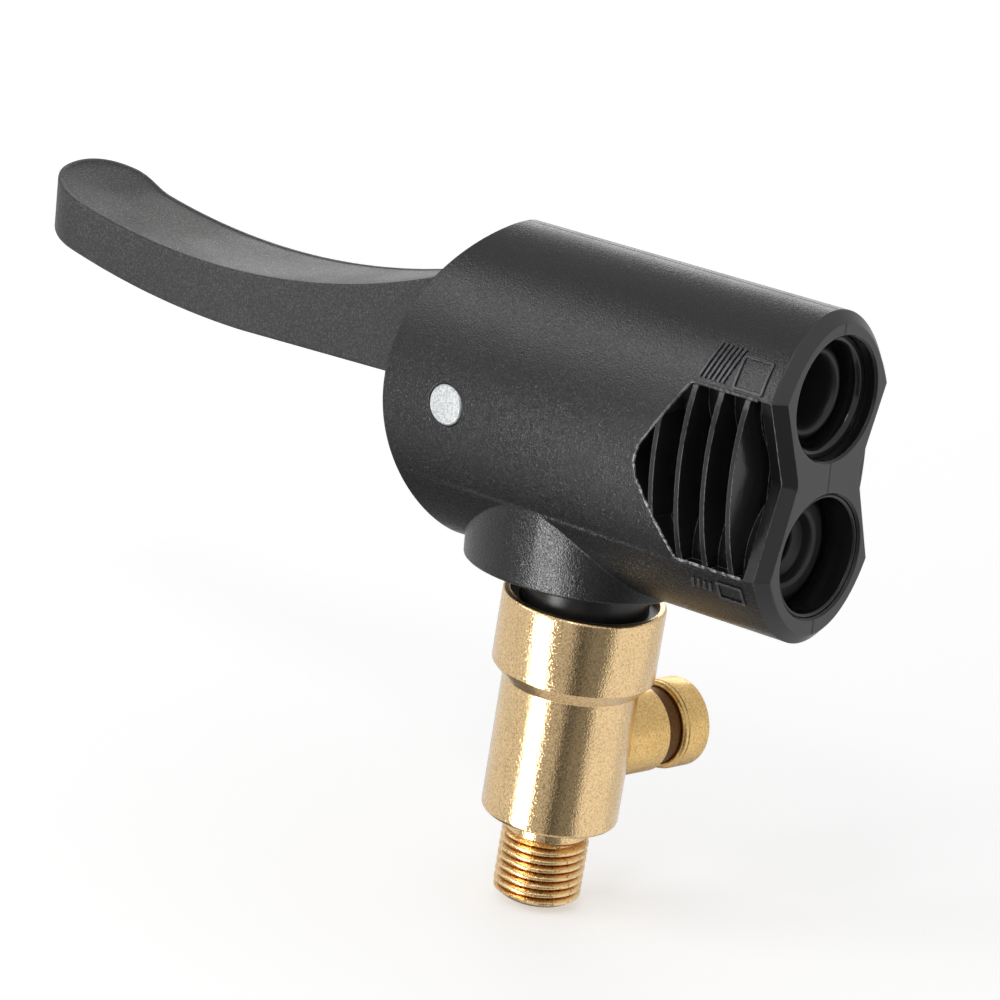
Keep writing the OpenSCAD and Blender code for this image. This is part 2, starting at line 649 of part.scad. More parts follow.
// Pin that opens a car valve's core, on a slotted foot in the plunger's bore
module valve_depressor() color("goldenrod") bore_line(port_z) {
    translate([0, 0, washer_x - 5]) cylinder(d = depressor_d, h = 5 + washer_t + depressor_show);
    translate([0, 0, washer_x - 5]) difference() {
        cylinder(r = plunger_bore_d / 2 - tight_fit, h = 2);
        for (a = [0 : 90 : 270]) rotate([0, 0, a]) translate([-0.4, depressor_d / 2 + 0.1, -eps])
            cube([0.8, plunger_bore_d, 3]);
    }
}

adapter_body();
stub_dust_seal();
snap_ring();
bleed_cartridge();
bleed_seat();
bleed_spring();
bleed_button();
bleed_stem();
head_housing();
stub_seal();
pivot_pin();
upper_gasket();
lower_gasket();
upper_port_ring();
lower_port_ring();
lever();
lever_bush();
pressure_bridge();
upper_plunger();
lower_plunger();
upper_plunger_seal();
lower_plunger_seal();
upper_washer();
lower_washer();
valve_depressor();
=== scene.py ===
"""Looks for a lever-lock tyre valve connector: grained nylon head, dished lever, rubber ports and turned brass."""

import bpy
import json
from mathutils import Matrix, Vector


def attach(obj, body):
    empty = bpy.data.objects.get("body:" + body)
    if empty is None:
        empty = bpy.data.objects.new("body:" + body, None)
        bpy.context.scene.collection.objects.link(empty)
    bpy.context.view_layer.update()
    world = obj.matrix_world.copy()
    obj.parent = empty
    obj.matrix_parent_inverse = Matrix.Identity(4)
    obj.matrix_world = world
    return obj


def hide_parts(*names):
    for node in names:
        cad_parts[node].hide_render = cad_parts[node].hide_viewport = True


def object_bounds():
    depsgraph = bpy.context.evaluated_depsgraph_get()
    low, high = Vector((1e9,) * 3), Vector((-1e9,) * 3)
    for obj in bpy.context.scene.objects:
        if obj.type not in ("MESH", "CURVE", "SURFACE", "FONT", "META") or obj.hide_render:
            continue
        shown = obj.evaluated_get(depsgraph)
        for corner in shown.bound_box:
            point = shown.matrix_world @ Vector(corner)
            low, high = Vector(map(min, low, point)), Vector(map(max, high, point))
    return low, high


bl_info = {
    "name": "Tyre Valve Connector",
    "version": (1, 0, 0),
    "blender": (4, 5, 0),
    "location": "View3D > Sidebar > Connector",
    "description": "Dresses the solid parts of a lever-lock tyre valve connector",
    "category": "Object",
}

import json
import math

import bmesh
import bpy
from bpy.props import FloatProperty, FloatVectorProperty, IntProperty, PointerProperty
from mathutils import Matrix, Vector

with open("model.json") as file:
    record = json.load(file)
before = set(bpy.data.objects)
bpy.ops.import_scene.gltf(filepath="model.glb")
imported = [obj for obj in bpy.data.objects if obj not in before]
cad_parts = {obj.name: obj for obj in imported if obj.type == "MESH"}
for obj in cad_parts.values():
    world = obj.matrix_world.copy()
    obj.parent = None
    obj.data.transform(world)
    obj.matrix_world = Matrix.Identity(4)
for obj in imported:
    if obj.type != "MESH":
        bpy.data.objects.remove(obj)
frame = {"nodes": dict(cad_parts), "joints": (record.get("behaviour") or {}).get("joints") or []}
SOLID_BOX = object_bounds()
JOINTS = {joint["name"]: joint for joint in frame["joints"]}

# Sizes below are in millimetres. Each place turns them into the frame's metres.
MM = Matrix.Diagonal((0.001, 0.001, 0.001, 1.0))
UP = Vector(JOINTS["head_swivel"]["axis"])
HINGE = Vector(JOINTS["lever_swing"]["pos_m"])
LEAN = math.atan2(UP.x, UP.z)
IN_HEAD = Matrix.Translation(HINGE + Vector((0.0145, 0, 0.001))) @ MM
AT_HINGE = Matrix.Translation(HINGE) @ MM
ON_STEM = MM @ Matrix.Rotation(LEAN, 4, "Y")
# Quarter turns: from Z along X, from Z along Y, and from X to Y
ALONG_X, ALONG_Y, X_TO_Y = (Matrix.Rotation(math.radians(90), 4, axis) for axis in "YXZ")
VALVE_HEIGHT, VALVE_TURN, VALVE_STEPS = 14, 82, 96
TO_VALVE = Matrix.Translation((0, 0, VALVE_HEIGHT)) @ Matrix.Rotation(math.radians(VALVE_TURN), 4, "Z") @ ALONG_X
ON_VALVE = ON_STEM @ TO_VALVE

# Head, from the middle of its barrel
BARREL_HALF_W, BARREL_HALF_H, BARREL_DROP = 11.6, 18.4, 0.2
BARREL_BACK, FACE = -26, 29.2
SIDES = (("near", 1), ("far", -1))
REAR_X, REAR_RADIUS = 3.9, 27.5
PORT_HEIGHTS = (8.7, -8.7)
LOBE, PORT_MOUTH = 8.2, 6.8
RECESS_TOP, RECESS_LOW, RECESS_SHOULDER, RECESS_FRONT = 9.3, -10.3, 17.4, 26.6
WEB_HALF = 5.6
RIBS = (14.5, 18.0, 21.5, 25.0)
PIVOT = (-14.5, 0, -1)
# Lever, from its hinge
LEVER_REACH, LEVER_HALF_W, BLANK_H = 69, 6.9, 12.0


def colour(name, text, value):
    return FloatVectorProperty(name=name, description=text, default=value, size=3, min=0, max=1, subtype="COLOR")


def number(name, text, value, low, high):
    return FloatProperty(name=name, description=text, default=value, min=low, max=high)


class HeadLook(bpy.types.PropertyGroup):
    nylon: colour("Nylon", "Colour of the moulded head", (0.008, 0.008, 0.009))
    face: colour("Front face", "Colour of the smooth front face", (0.055, 0.055, 0.056))
    recess: colour("Recess", "Colour of the glossy grip recess", (0.012, 0.012, 0.013))
    grain: number("Grain size", "Cells of grain to the metre", 5600.0, 500.0, 9000.0)
    bevel: number("Face bevel", "Width of the bevel round the front face, in millimetres", 1.25, 0.4, 2.0)
    edge: number("Edge radius", "Radius that edges are shaded with, in millimetres", 0.24, 0.02, 0.6)


class LeverLook(bpy.types.PropertyGroup):
    nylon: colour("Nylon", "Colour of the moulded lever", (0.043, 0.043, 0.045))
    # The top colour is a painted tone for how the light falls on the lever's up-facing top.
    top: colour("Painted top tone", "Colour of the lever's painted top tone", (0.036, 0.033, 0.029))
    grain: number("Grain size", "Cells of grain to the metre", 5200.0, 500.0, 9000.0)
    rim: number("Rim", "Width of the rim round the dished top, in millimetres", 0.55, 0.2, 1.5)


class BrassLook(bpy.types.PropertyGroup):
    body: colour("Brass", "Colour of the turned adapter", (0.88, 0.62, 0.33))
    valve: colour("Valve brass", "Colour of the bleed valve", (0.85, 0.56, 0.22))
    dark: colour("Tarnish", "Colour of the dull brass in grooves", (0.16, 0.075, 0.03))
    turns: number("Turning marks", "Turning marks to the metre", 5200.0, 500.0, 20000.0)
    pitch: number("Thread pitch", "Pitch of the hose thread, in millimetres", 1.0, 0.5, 2.0)


class PortLook(bpy.types.PropertyGroup):
    rubber: colour("Rubber", "Colour of the gaskets and seals", (0.018, 0.018, 0.019))
    ring: colour("Ring", "Colour of the glossy retaining rings", (0.010, 0.010, 0.011))
    steps: IntProperty(name="Steps", description="Steps round a turned piece", default=144, min=24, max=360)


LOOKS = {"head": HeadLook, "lever": LeverLook, "brass": BrassLook, "port": PortLook}


def look(name):
    return getattr(bpy.context.scene, "connector_" + name)


# ---------------------------------------------------------------- mesh helpers

def move(bm, place):
    bmesh.ops.transform(bm, matrix=place, verts=bm.verts)
    return bm


def as_object(name, bm, place=None):
    """Turns a bmesh into a scene object whose place is in its mesh."""
    if place is not None:
        move(bm, place)
    bmesh.ops.recalc_face_normals(bm, faces=bm.faces)
    mesh = bpy.data.meshes.new(name)
    bm.to_mesh(mesh)
    bm.free()
    piece = bpy.data.objects.new(name, mesh)
    bpy.context.scene.collection.objects.link(piece)
    return piece


def finish_piece(piece, body, slot, finish, *nodes, turn=28):
    """Gives a piece its finish, smooth shading up to a turn and its place in the assembly."""
    if finish is not None:
        piece.data.materials.clear()
        piece.data.materials.append(FINISHES[finish])
    piece.data.shade_smooth()
    piece.data.set_sharp_from_angle(angle=math.radians(turn))
    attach(piece, body)
    if nodes:
        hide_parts(*nodes)


def add_piece(name, bm, place, *looks, turn=28):
    """Makes, places and finishes a piece."""
    finish_piece(as_object(name, bm, place), *looks, turn=turn)


def soften(bm, width, segments=2, turn=30, edges=None):
    """Rounds the edges given, or else those that turn sharply."""
    if edges is None:
        edges = [e for e in bm.edges if len(e.link_faces) == 2 and e.calc_face_angle() > math.radians(turn)]
    bmesh.ops.bevel(bm, geom=edges, offset=width, offset_type="OFFSET", segments=segments, profile=0.5,
                    affect="EDGES", clamp_overlap=True, material=-1)


def turned(outline, steps=144, closed=False, round_off=0.0):
    """Spins an outline of (radius, height) points round +Z. A closed outline makes a ring."""
    bm = bmesh.new()
    points = [bm.verts.new((r, 0, z)) for r, z in outline]
    lines = [bm.edges.new(pair) for pair in zip(points, points[1:])]
    if closed:
        lines.append(bm.edges.new((points[-1], points[0])))
    bmesh.ops.spin(bm, geom=points + lines, cent=(0, 0, 0), axis=(0, 0, 1), angle=math.tau, steps=steps, use_merge=True)
    bmesh.ops.remove_doubles(bm, verts=bm.verts, dist=1e-4)
    bmesh.ops.recalc_face_normals(bm, faces=bm.faces)
    if round_off:
        soften(bm, round_off, turn=25)
    return bm


def closed_loop(bm, points):
    """Edges joining points in a ring."""
    ring = [bm.verts.new(point) for point in points]
    return [bm.edges.new(pair) for pair in zip(ring, ring[1:] + ring[:1])]


def loft(bm, loops):
    """Skins a row of loops and closes both ends."""
    for first, second in zip(loops, loops[1:]):
        bmesh.ops.bridge_loops(bm, edges=first + second)
    for loop in (loops[0], loops[-1]):
        bmesh.ops.contextual_create(bm, geom=loop)


def slab(low, high):
    """A closed block between two corners."""
    bm = bmesh.new()
    bmesh.ops.create_cube(bm, size=1.0)
    low, high = Vector(low), Vector(high)
    bmesh.ops.scale(bm, vec=high - low, verts=bm.verts)
    bmesh.ops.translate(bm, vec=(low + high) / 2, verts=bm.verts)
    return bm


def extrude(bm, step):
    """Makes a flat mesh solid by extruding it one step."""
    moved = bmesh.ops.extrude_face_region(bm, geom=bm.faces[:])["geom"]
    bmesh.ops.translate(bm, vec=step, verts=[v for v in moved if isinstance(v, bmesh.types.BMVert)])
    bmesh.ops.recalc_face_normals(bm, faces=bm.faces)
    return bm


def prism(points, depth, along="Y"):
    """Extrudes a flat outline both ways along an axis."""
    bm = bmesh.new()
    bm.faces.new([bm.verts.new((a, -depth, b) if along == "Y" else (a, b, -depth)) for a, b in points])
    return extrude(bm, (0, 2 * depth, 0) if along == "Y" else (0, 0, 2 * depth))


def combine(target, other, kind):
    """Joins or cuts a piece with another, which is then dropped."""
    step = target.modifiers.new("step", "BOOLEAN")
    step.operation, step.solver, step.object = kind, "EXACT", other
    step.material_mode = "TRANSFER"
    graph = bpy.context.evaluated_depsgraph_get()
    made = bpy.data.meshes.new_from_object(target.evaluated_get(graph))
    old = target.data
    target.modifiers.clear()
    target.data = made
    bpy.data.meshes.remove(old)
    mesh = other.data
    bpy.data.objects.remove(other)
    bpy.data.meshes.remove(mesh)


def move_piece(piece, place):
    """Moves a piece's mesh and points its faces outward."""
    bm = bmesh.new()
    bm.from_mesh(piece.data)
    move(bm, place)
    bmesh.ops.recalc_face_normals(bm, faces=bm.faces)
    bm.to_mesh(piece.data)
    bm.free()


# ---------------------------------------------------------------- materials

class Shader:
    """Short ways to place and join shader nodes."""

    def __init__(self, tree):
        self.tree = tree
        self.x = -1600

    def node(self, kind, values=None, **settings):
        """A new node with its settings, and with its inputs joined or set."""
        made = self.tree.nodes.new(kind)
        made.location = (self.x, 0)
        self.x += 60
        for key, value in settings.items():
            setattr(made, key, value)
        for key, value in (values or {}).items():
            if isinstance(value, bpy.types.NodeSocket):
                self.join(value, made.inputs[key])
            else:
                made.inputs[key].default_value = value
        return made

    def join(self, out, into):
        self.tree.links.new(out, into)

    def math(self, work, a, b=0.0, c=0.0, clamp=False):
        return self.node("ShaderNodeMath", {0: a, 1: b, 2: c}, operation=work, use_clamp=clamp).outputs[0]

    def times(self, a, b):
        return self.math("MULTIPLY", a, b)

    def span(self, value, low, high, to_low=0.0, to_high=1.0):
        """Maps low..high to to_low..to_high, with soft ends."""
        values = {"Value": value, "From Min": low, "From Max": high, "To Min": to_low, "To Max": to_high}
        return self.node("ShaderNodeMapRange", values, interpolation_type="SMOOTHSTEP").outputs["Result"]

    def mix(self, amount, a, b):
        return self.node("ShaderNodeMix", {0: amount, 6: a, 7: b}, data_type="RGBA").outputs[2]

    def noise(self, place, scale, detail=2.0, rough=0.5, out="Fac"):
        values = {"Vector": place, "Scale": scale, "Detail": detail, "Roughness": rough}
        return self.node("ShaderNodeTexNoise", values).outputs[out]

    def cells(self, place, scale, smoothness=0.0):
        """Distance to the nearest cell's middle, with soft borders where smoothness is set."""
        values = {"Vector": place, "Scale": scale}
        if smoothness:
            values["Smoothness"] = smoothness
        feature = "SMOOTH_F1" if smoothness else "F1"
        return self.node("ShaderNodeTexVoronoi", values, feature=feature).outputs["Distance"]

    def vector(self, work, a, b=(0, 0, 0), c=(0, 0, 0), out="Vector"):
        return self.node("ShaderNodeVectorMath", {0: a, 1: b, 2: c}, operation=work).outputs[out]

    def along(self, place, direction):
        return self.vector("DOT_PRODUCT", place, direction, out="Value")

    def use(self, tree, **values):
        """The outputs of a group, with its inputs set."""
        return self.node("ShaderNodeGroup", values, node_tree=tree).outputs


def node_group(name, inputs, outputs):
    """Turns a function that fills a shader group into one that builds the group once and returns it."""
    def wrap(fill):
        def get():
            if name not in bpy.data.node_groups:
                tree = bpy.data.node_groups.new(name, "ShaderNodeTree")
                for label, value in inputs.items():
                    kind = "NodeSocketVector" if value is None else "NodeSocketFloat"
                    socket = tree.interface.new_socket(name=label, in_out="INPUT", socket_type=kind)
                    if value is not None:
                        socket.default_value = value
                for label in outputs:
                    kind = "NodeSocketVector" if label == "Normal" else "NodeSocketFloat"
                    tree.interface.new_socket(name=label, in_out="OUTPUT", socket_type=kind)
                s = Shader(tree)
                fill(s, s.node("NodeGroupInput").outputs, s.node("NodeGroupOutput").inputs)
            return bpy.data.node_groups[name]
        return get
    return wrap


@node_group("moulded_grain", {"Place": None, "Cells": 3200.0, "Smooth": 0.0}, ("Height", "Crest"))
def moulded_grain(s, enter, leave):
    """Leather-like moulding grain: a height and a worn-crest mask."""
    warp = s.noise(enter["Place"], 1500.0, 1.0, out="Color")
    bent = s.vector("MULTIPLY_ADD", warp, (0.00012, 0.00012, 0.00012), enter["Place"])
    pebbles = s.cells(bent, enter["Cells"], 0.25)
    fine = s.noise(bent, 5200.0, 1.0)
    height = s.math("MULTIPLY_ADD", fine, 0.7, s.times(pebbles, -0.7))
    keep = s.math("SUBTRACT", 1.0, enter["Smooth"], clamp=True)
    s.join(s.times(height, keep), leave["Height"])
    s.join(s.times(s.span(height, -0.25, 0.2), keep), leave["Crest"])


@node_group("soft_edges", {"Radius": 0.00016}, ("Normal", "Edge"))
def soft_edges(s, enter, leave):
    """Where an edge turns: a rounded normal and a mask along the edges, which the finishes lighten, as a painted
    highlight on the nylon and gloss.
    """
    rounded = s.node("ShaderNodeBevel", {"Radius": enter["Radius"]}, samples=6).outputs["Normal"]
    plain = s.node("ShaderNodeNewGeometry").outputs["Normal"]
    s.join(s.span(s.along(rounded, plain), 0.995, 0.86), leave["Edge"])
    s.join(rounded, leave["Normal"])


@node_group("handling_dust", {"Place": None, "Amount": 0.5}, ("Specks", "Drift"))
def handling_dust(s, enter, leave):
    """Pale specks, faint smudges and slow colour drift over a surface."""
    near = s.span(s.cells(enter["Place"], 420.0), 0.055, 0.02)
    sparse = s.span(s.noise(enter["Place"], 160.0, 3.0), 0.56, 0.66)
    s.join(s.times(s.times(near, sparse), enter["Amount"]), leave["Specks"])
    s.join(s.span(s.noise(enter["Place"], 55.0, 4.0, 0.6), 0.3, 0.7), leave["Drift"])


@node_group("turning_marks", {"Place": None, "Along": 0.0, "Marks": 5200.0, "Sparkle": 0.6}, ("Height", "Tone", "Grit"))
def turning_marks(s, enter, leave):
    """Fine rings of a lathe's cut round an axis, with a crystalline sparkle."""
    rows = s.node("ShaderNodeCombineXYZ", {"Z": enter["Along"]}).outputs[0]
    rings = s.noise(rows, enter["Marks"])
    grains = s.noise(enter["Place"], 5000.0, 1.0, 0.6)
    s.join(s.noise(enter["Place"], 4400.0, 1.0), leave["Grit"])
    s.join(s.math("MULTIPLY_ADD", rings, 0.55, s.times(grains, enter["Sparkle"])), leave["Height"])
    wide = s.noise(enter["Place"], 260.0, 3.0, 0.6)
    s.join(s.math("MULTIPLY_ADD", wide, 0.6, s.times(grains, 0.4)), leave["Tone"])


class Finish:
    """A material built up from its base colour, with soft edges and dust where they are asked for."""

    def __init__(self, name, base, metallic=0.0, edge=0.0, dust=0.0):
        self.material = bpy.data.materials.new(name)
        self.material.use_nodes = True
        self.s = s = Shader(self.material.node_tree)
        self.shader = self.material.node_tree.nodes["Principled BSDF"]
        self.shader.inputs["Metallic"].default_value = metallic
        self.base = base
        self.place = s.node("ShaderNodeTexCoord").outputs["Object"]
        self.corner = s.use(soft_edges(), Radius=edge) if edge else None
        self.dirt = s.use(handling_dust(), Place=self.place, Amount=dust) if dust else None
        self.tone = (*base, 1.0)

    def drift(self, amount, level):
        """Starts the tone with a slow drift between the base and a scaled base."""
        self.tone = self.s.mix(self.s.times(self.dirt["Drift"], amount), self.tone, scaled(self.base, level))

    def lay(self, mask, amount, over):
        """Lays a colour, or a multiple of the base, over the tone where the mask is."""
        over = scaled(self.base, over) if isinstance(over, float) else (*over, 1.0)
        self.tone = self.s.mix(mask if amount == 1.0 else self.s.times(mask, amount), self.tone, over)

    def done(self, roughness, height, depth, strength=1.0):
        """Joins tone, roughness and bump to the shader."""
        s, shader = self.s, self.shader
        bump = s.node("ShaderNodeBump", {"Strength": strength, "Distance": depth, "Height": height})
        if self.corner:
            s.join(self.corner["Normal"], bump.inputs["Normal"])
        for key, out in (("Base Color", self.tone), ("Roughness", roughness), ("Normal", bump.outputs["Normal"])):
            s.join(out, shader.inputs[key])
        return self.material


def scaled(value, factor):
    return tuple(min(1.0, c * factor) for c in value) + (1.0,)


def nylon(name, base, cells, depth, rough, smoothness=0.0, edge=0.00016, dust=0.5, seam=False, top=None,
          flecks_and_glints=0.0, scuff=0.0):
    """Glass-filled nylon with moulding grain, soft edges with a painted highlight, a little dust and, where asked,
    flecks with painted glints, a painted top tone and a painted rim shade.
    """
    m = Finish(name, base, edge=edge, dust=dust)
    s, place, drift, edges = m.s, m.place, m.dirt["Drift"], m.corner["Edge"]
    grain = s.use(moulded_grain(), Place=place, Cells=cells, Smooth=smoothness)
    m.drift(0.55, 1.35)
    if top is not None:
        # Painted light: up-facing faces take the top colour, for how the light falls on the lever's top.
        facing = s.along(s.node("ShaderNodeNewGeometry").outputs["Normal"], (0, 0, 1))
        m.lay(s.times(s.span(facing, 0.35, 0.9), s.span(drift, 0.0, 1.0, 0.55, 1.0)), 1.0, top)
        # Painted shade: a dark line along the top's side rims, where the rounded rim falls into shade.
        from_middle = s.math("ABSOLUTE", s.along(place, (0, 1, 0)))
        m.lay(s.times(s.span(from_middle, 0.0061, 0.0064), s.span(facing, 0.3, 0.8)), 1.0, 0.3)
    m.lay(grain["Crest"], 0.35, 1.9)
    wander = s.span(drift, 0.0, 1.0, rough - 0.05, rough + 0.06)
    # Flecks: dark specks of random tone, and bright specks that are painted glints.
    if flecks_and_glints:
        fleck_glint_noise = s.noise(place, 4600.0, 1.0)
        m.lay(s.span(fleck_glint_noise, 0.48, 0.34), flecks_and_glints, 0.45)
        m.lay(s.span(fleck_glint_noise, 0.56, 0.7), flecks_and_glints, 3.2)
        wander = s.math("MULTIPLY_ADD", s.span(fleck_glint_noise, 0.54, 0.68), -0.1, wander)
    # Painted highlight along the edges.
    m.lay(edges, 0.45, 4.0)
    if scuff:
        patches = s.span(s.noise(place, 380.0, 4.0, 0.75), 0.52, 0.64)
        m.lay(s.times(edges, patches), scuff, (0.27, 0.265, 0.26))
    m.lay(m.dirt["Specks"], 1.0, (0.30, 0.30, 0.30))
    height = grain["Height"]
    if seam:
        near = s.span(s.math("ABSOLUTE", s.along(place, (0, 1, 0))), 0.00008, 0.0003)
        m.tone = s.mix(near, scaled(base, 0.3), m.tone)
        height = s.math("ADD", height, s.times(near, 2.2))
    return m.done(wander, height, depth)


def gloss(name, base, rough, edge_highlight=4.0, edge=0.00012, texture=0.15, dust=0.35, flecks_and_glints=0.0):
    """Smooth, glossy moulding with crisp edges carrying a painted highlight, pale painted highlight patches where
    asked, and faint flow ripples.
    """
    m = Finish(name, base, edge=edge, dust=dust)
    s, place = m.s, m.place
    m.drift(0.5, 1.6)
    # Painted highlight along the edges, broken up by noise.
    m.lay(s.times(m.corner["Edge"], s.span(s.noise(place, 1500.0, 3.0, 0.7), 0.36, 0.6)), 1.0, edge_highlight)
    # Painted highlight: pale patches, stronger lower down.
    if flecks_and_glints:
        lower = s.span(s.along(place, (0, 0, 1)), HINGE.z + 0.004, HINGE.z - 0.001, 0.25, 1.0)
        highlight_patches = s.span(s.noise(place, 1300.0, 4.0, 0.75), 0.47, 0.58)
        m.lay(s.times(highlight_patches, lower), flecks_and_glints, (0.55, 0.55, 0.56))
    m.lay(m.dirt["Specks"], 1.0, (0.5, 0.5, 0.5))
    return m.done(s.span(m.dirt["Drift"], 0.0, 1.0, rough - 0.04, rough + 0.06), s.noise(place, 900.0, 3.0, 0.6),
                  0.00006, texture)


def rubber(name, base, rough=0.5):
    """Moulded rubber: matte, faintly bloomed, with a fine tooth."""
    m = Finish(name, base, edge=0.00014, dust=0.25)
    m.drift(0.6, 1.8)
    m.lay(m.corner["Edge"], 0.5, 3.5)
    return m.done(m.s.span(m.dirt["Drift"], 0.0, 1.0, rough, rough + 0.12), m.s.noise(m.place, 4200.0, 2.0, 0.6),
                  0.00002, 0.6)


def turned_metal(name, base, direction, rough, marks, sparkle=1.0, depth=0.00003):
    """Satin turned metal with lathe rings, crystalline sparkle and slow staining."""
    m = Finish(name, base, metallic=1.0, edge=0.0001)
    s = m.s
    rings = s.use(turning_marks(), Place=m.place, Along=s.along(m.place, direction), Marks=marks, Sparkle=sparkle)
    for mask, amount, level in ((s.span(rings["Tone"], 0.30, 0.72), 0.25, 0.62),
                                (s.span(rings["Grit"], 0.47, 0.33), 0.55, 0.5),
                                (s.span(rings["Grit"], 0.56, 0.68), 0.6, 1.3),
                                (m.corner["Edge"], 0.4, 1.15)):
        m.lay(mask, amount, level)
    return m.done(s.span(rings["Tone"], 0.3, 0.7, rough - 0.04, rough + 0.06), rings["Height"], depth)


def thread_brass(name, base, dark, axis):
    """Brass thread: crests painted bright as a highlight, over brown flanks and roots."""
    m = Finish(name, dark, metallic=1.0)
    s, place = m.s, m.place
    axis = tuple(axis)
    down = s.node("ShaderNodeCombineXYZ", dict.fromkeys("XYZ", s.times(s.along(place, axis), -1.0))).outputs[0]
    off_axis = s.vector("MULTIPLY_ADD", axis, down, place)
    crest = s.span(s.vector("LENGTH", off_axis, out="Value"), 0.0044, 0.0049)
    grain = s.noise(place, 3800.0, 2.0, 0.7)
    # Painted highlight: the crests take the bright brass colour.
    m.lay(s.math("MULTIPLY_ADD", grain, 0.35, s.times(crest, 0.8), clamp=True), 1.0, base)
    m.lay(s.span(s.noise(place, 2400.0, 2.0, 0.7), 0.44, 0.34), 0.6, 0.35)
    return m.done(s.span(grain, 0.3, 0.7, 0.18, 0.34), grain, 0.00004, 0.8)


def steel(name, base, rough, cells=2600.0, depth=0.00004):
    """Cut or rolled steel with a granular face."""
    m = Finish(name, base, metallic=1.0, edge=0.0001)
    grain = m.s.noise(m.place, cells, 3.0, 0.75)
    m.tone = m.s.mix(m.s.span(grain, 0.4, 0.6), scaled(base, 0.62), m.tone)
    return m.done(m.s.span(grain, 0.3, 0.7, rough - 0.06, rough + 0.1), grain, depth, 0.8)


def acetal(name, base):
    """Natural white acetal, a little waxy."""
    m = Finish(name, base, dust=0.1)
    m.drift(1.0, 0.9)
    return m.done(m.s.span(m.dirt["Drift"], 0.0, 1.0, 0.35, 0.45), m.s.noise(m.place, 3000.0), 0.00001, 0.5)


FINISHES = {}


def make_finishes():
    head, lever, brass, port = (look(k) for k in ("head", "lever", "brass", "port"))
    radius = head.edge / 1000
    valve_line = tuple(ON_VALVE.to_3x3() @ Vector((0, 0, 1)) * 1000)
    FINISHES.update(
        head=nylon("grained_nylon", head.nylon, head.grain, 0.000036, 0.28, flecks_and_glints=0.7, edge=radius, seam=True),
        face=nylon("smooth_face", head.face, head.grain, 0.00002, 0.42, smoothness=0.85, edge=0.0004, seam=True),
        bevel=gloss("bevel_gloss", scaled(head.face, 0.6)[:3], 0.36, edge_highlight=2.0, edge=0.0004),
        # The lip's pale tone and pale patches are a painted highlight.
        lip=gloss("lip_gloss_painted_highlight", scaled(head.nylon, 4.0)[:3], 0.16, edge_highlight=1.0, texture=1.0, flecks_and_glints=0.9),
        # The marks are painted lighter against the shade on their sides, with a painted highlight on their edges.
        mark=gloss("mark_gloss_painted_highlight", scaled(head.nylon, 5.0)[:3], 0.22, edge_highlight=6.0, edge=0.00014, texture=0.5),
        recess=gloss("recess_gloss", head.recess, 0.2, edge_highlight=20.0, edge=0.00014, texture=0.4, dust=0.9),
        bore=gloss("bore_gloss", port.ring, 0.24, edge_highlight=12.0),
        lever=nylon("lever_nylon", lever.nylon, lever.grain, 0.00006, 0.5, flecks_and_glints=0.6, dust=0.7, scuff=1.0,
                    edge=0.00026, top=lever.top),
        rubber=rubber("black_rubber", port.rubber, 0.36),
        ring=gloss("ring_gloss", port.ring, 0.18, edge_highlight=26.0),
        stub=gloss("stub_gloss", port.ring, 0.34, edge_highlight=3.0),
        brass=turned_metal("turned_brass", brass.body, tuple(UP), 0.1, brass.turns),
        valve=turned_metal("valve_brass", brass.valve, valve_line, 0.34, brass.turns),
        groove=turned_metal("tarnished_brass", scaled(brass.dark, 0.85)[:3], valve_line, 0.4, brass.turns, 0.5,
                            0.00001),
        thread=thread_brass("thread_brass", (0.95, 0.68, 0.36), (0.46, 0.22, 0.06), UP),
        pin=steel("pin_steel", (0.75, 0.77, 0.78), 0.42, 3400.0),
        steel=steel("spring_steel", (0.55, 0.56, 0.58), 0.3, 1500.0, 0.00001),
        bronze=steel("sintered_bronze", (0.52, 0.33, 0.17), 0.45),
        acetal=acetal("white_acetal", (0.78, 0.78, 0.74)),
    )


# ---------------------------------------------------------------- operators

class BuildStep:
    """What the building steps share."""
    bl_options = {"REGISTER", "UNDO"}


def oval_prism(low, high, steps=168):
    """The barrel's oval, extruded along X."""
    bm = bmesh.new()
    ring = bmesh.ops.create_circle(bm, cap_ends=True, segments=steps, radius=1.0)["verts"]
    bmesh.ops.transform(bm, matrix=Matrix.Translation((low, 0, -BARREL_DROP))
                        @ Matrix.Diagonal((1, BARREL_HALF_W, BARREL_HALF_H, 1)) @ ALONG_X, verts=ring)
    return extrude(bm, (high - low, 0, 0))


def notch_cutter(side, stages, corner=0.9):
    """A wedge with a rounded nose, drawn at several stages of (x, growth) and bridged."""
    nose, top, low = Vector((6.5, 0)), Vector((9.93, 9.3)), Vector((9.72, -10.3))
    up, down = (top - nose).normalized(), (low - nose).normalized()
    from_up, from_down = Vector((-up.y, up.x)), Vector((down.y, -down.x))
    centre = nose - (from_up + from_down) * corner / (1 + from_up.dot(from_down))
    bm = bmesh.new()
    loops = []
    for x, grow in stages:
        around = [from_up.slerp(from_down, i / 6) * (corner + grow) + centre for i in range(7)]
        points = [around[0] + up * 24, *around, around[-1] + down * 24]
        loops.append(closed_loop(bm, [(x, p.x * side, p.y) for p in points]))
    loft(bm, loops)
    return bm


def rounded_corner(bm, test, radius, segments=6):
    """Rounds the edges that test picks by their two ends."""
    soften(bm, radius, segments, edges=[e for e in bm.edges if test(*(v.co for v in e.verts))])


def cylinder(radius, length, place, steps=128):
    """A closed round bar along +Z about the middle, moved to its place."""
    bm = bmesh.new()
    bmesh.ops.create_cone(bm, cap_ends=True, segments=steps, radius1=radius, radius2=radius, depth=length)
    return move(bm, place)


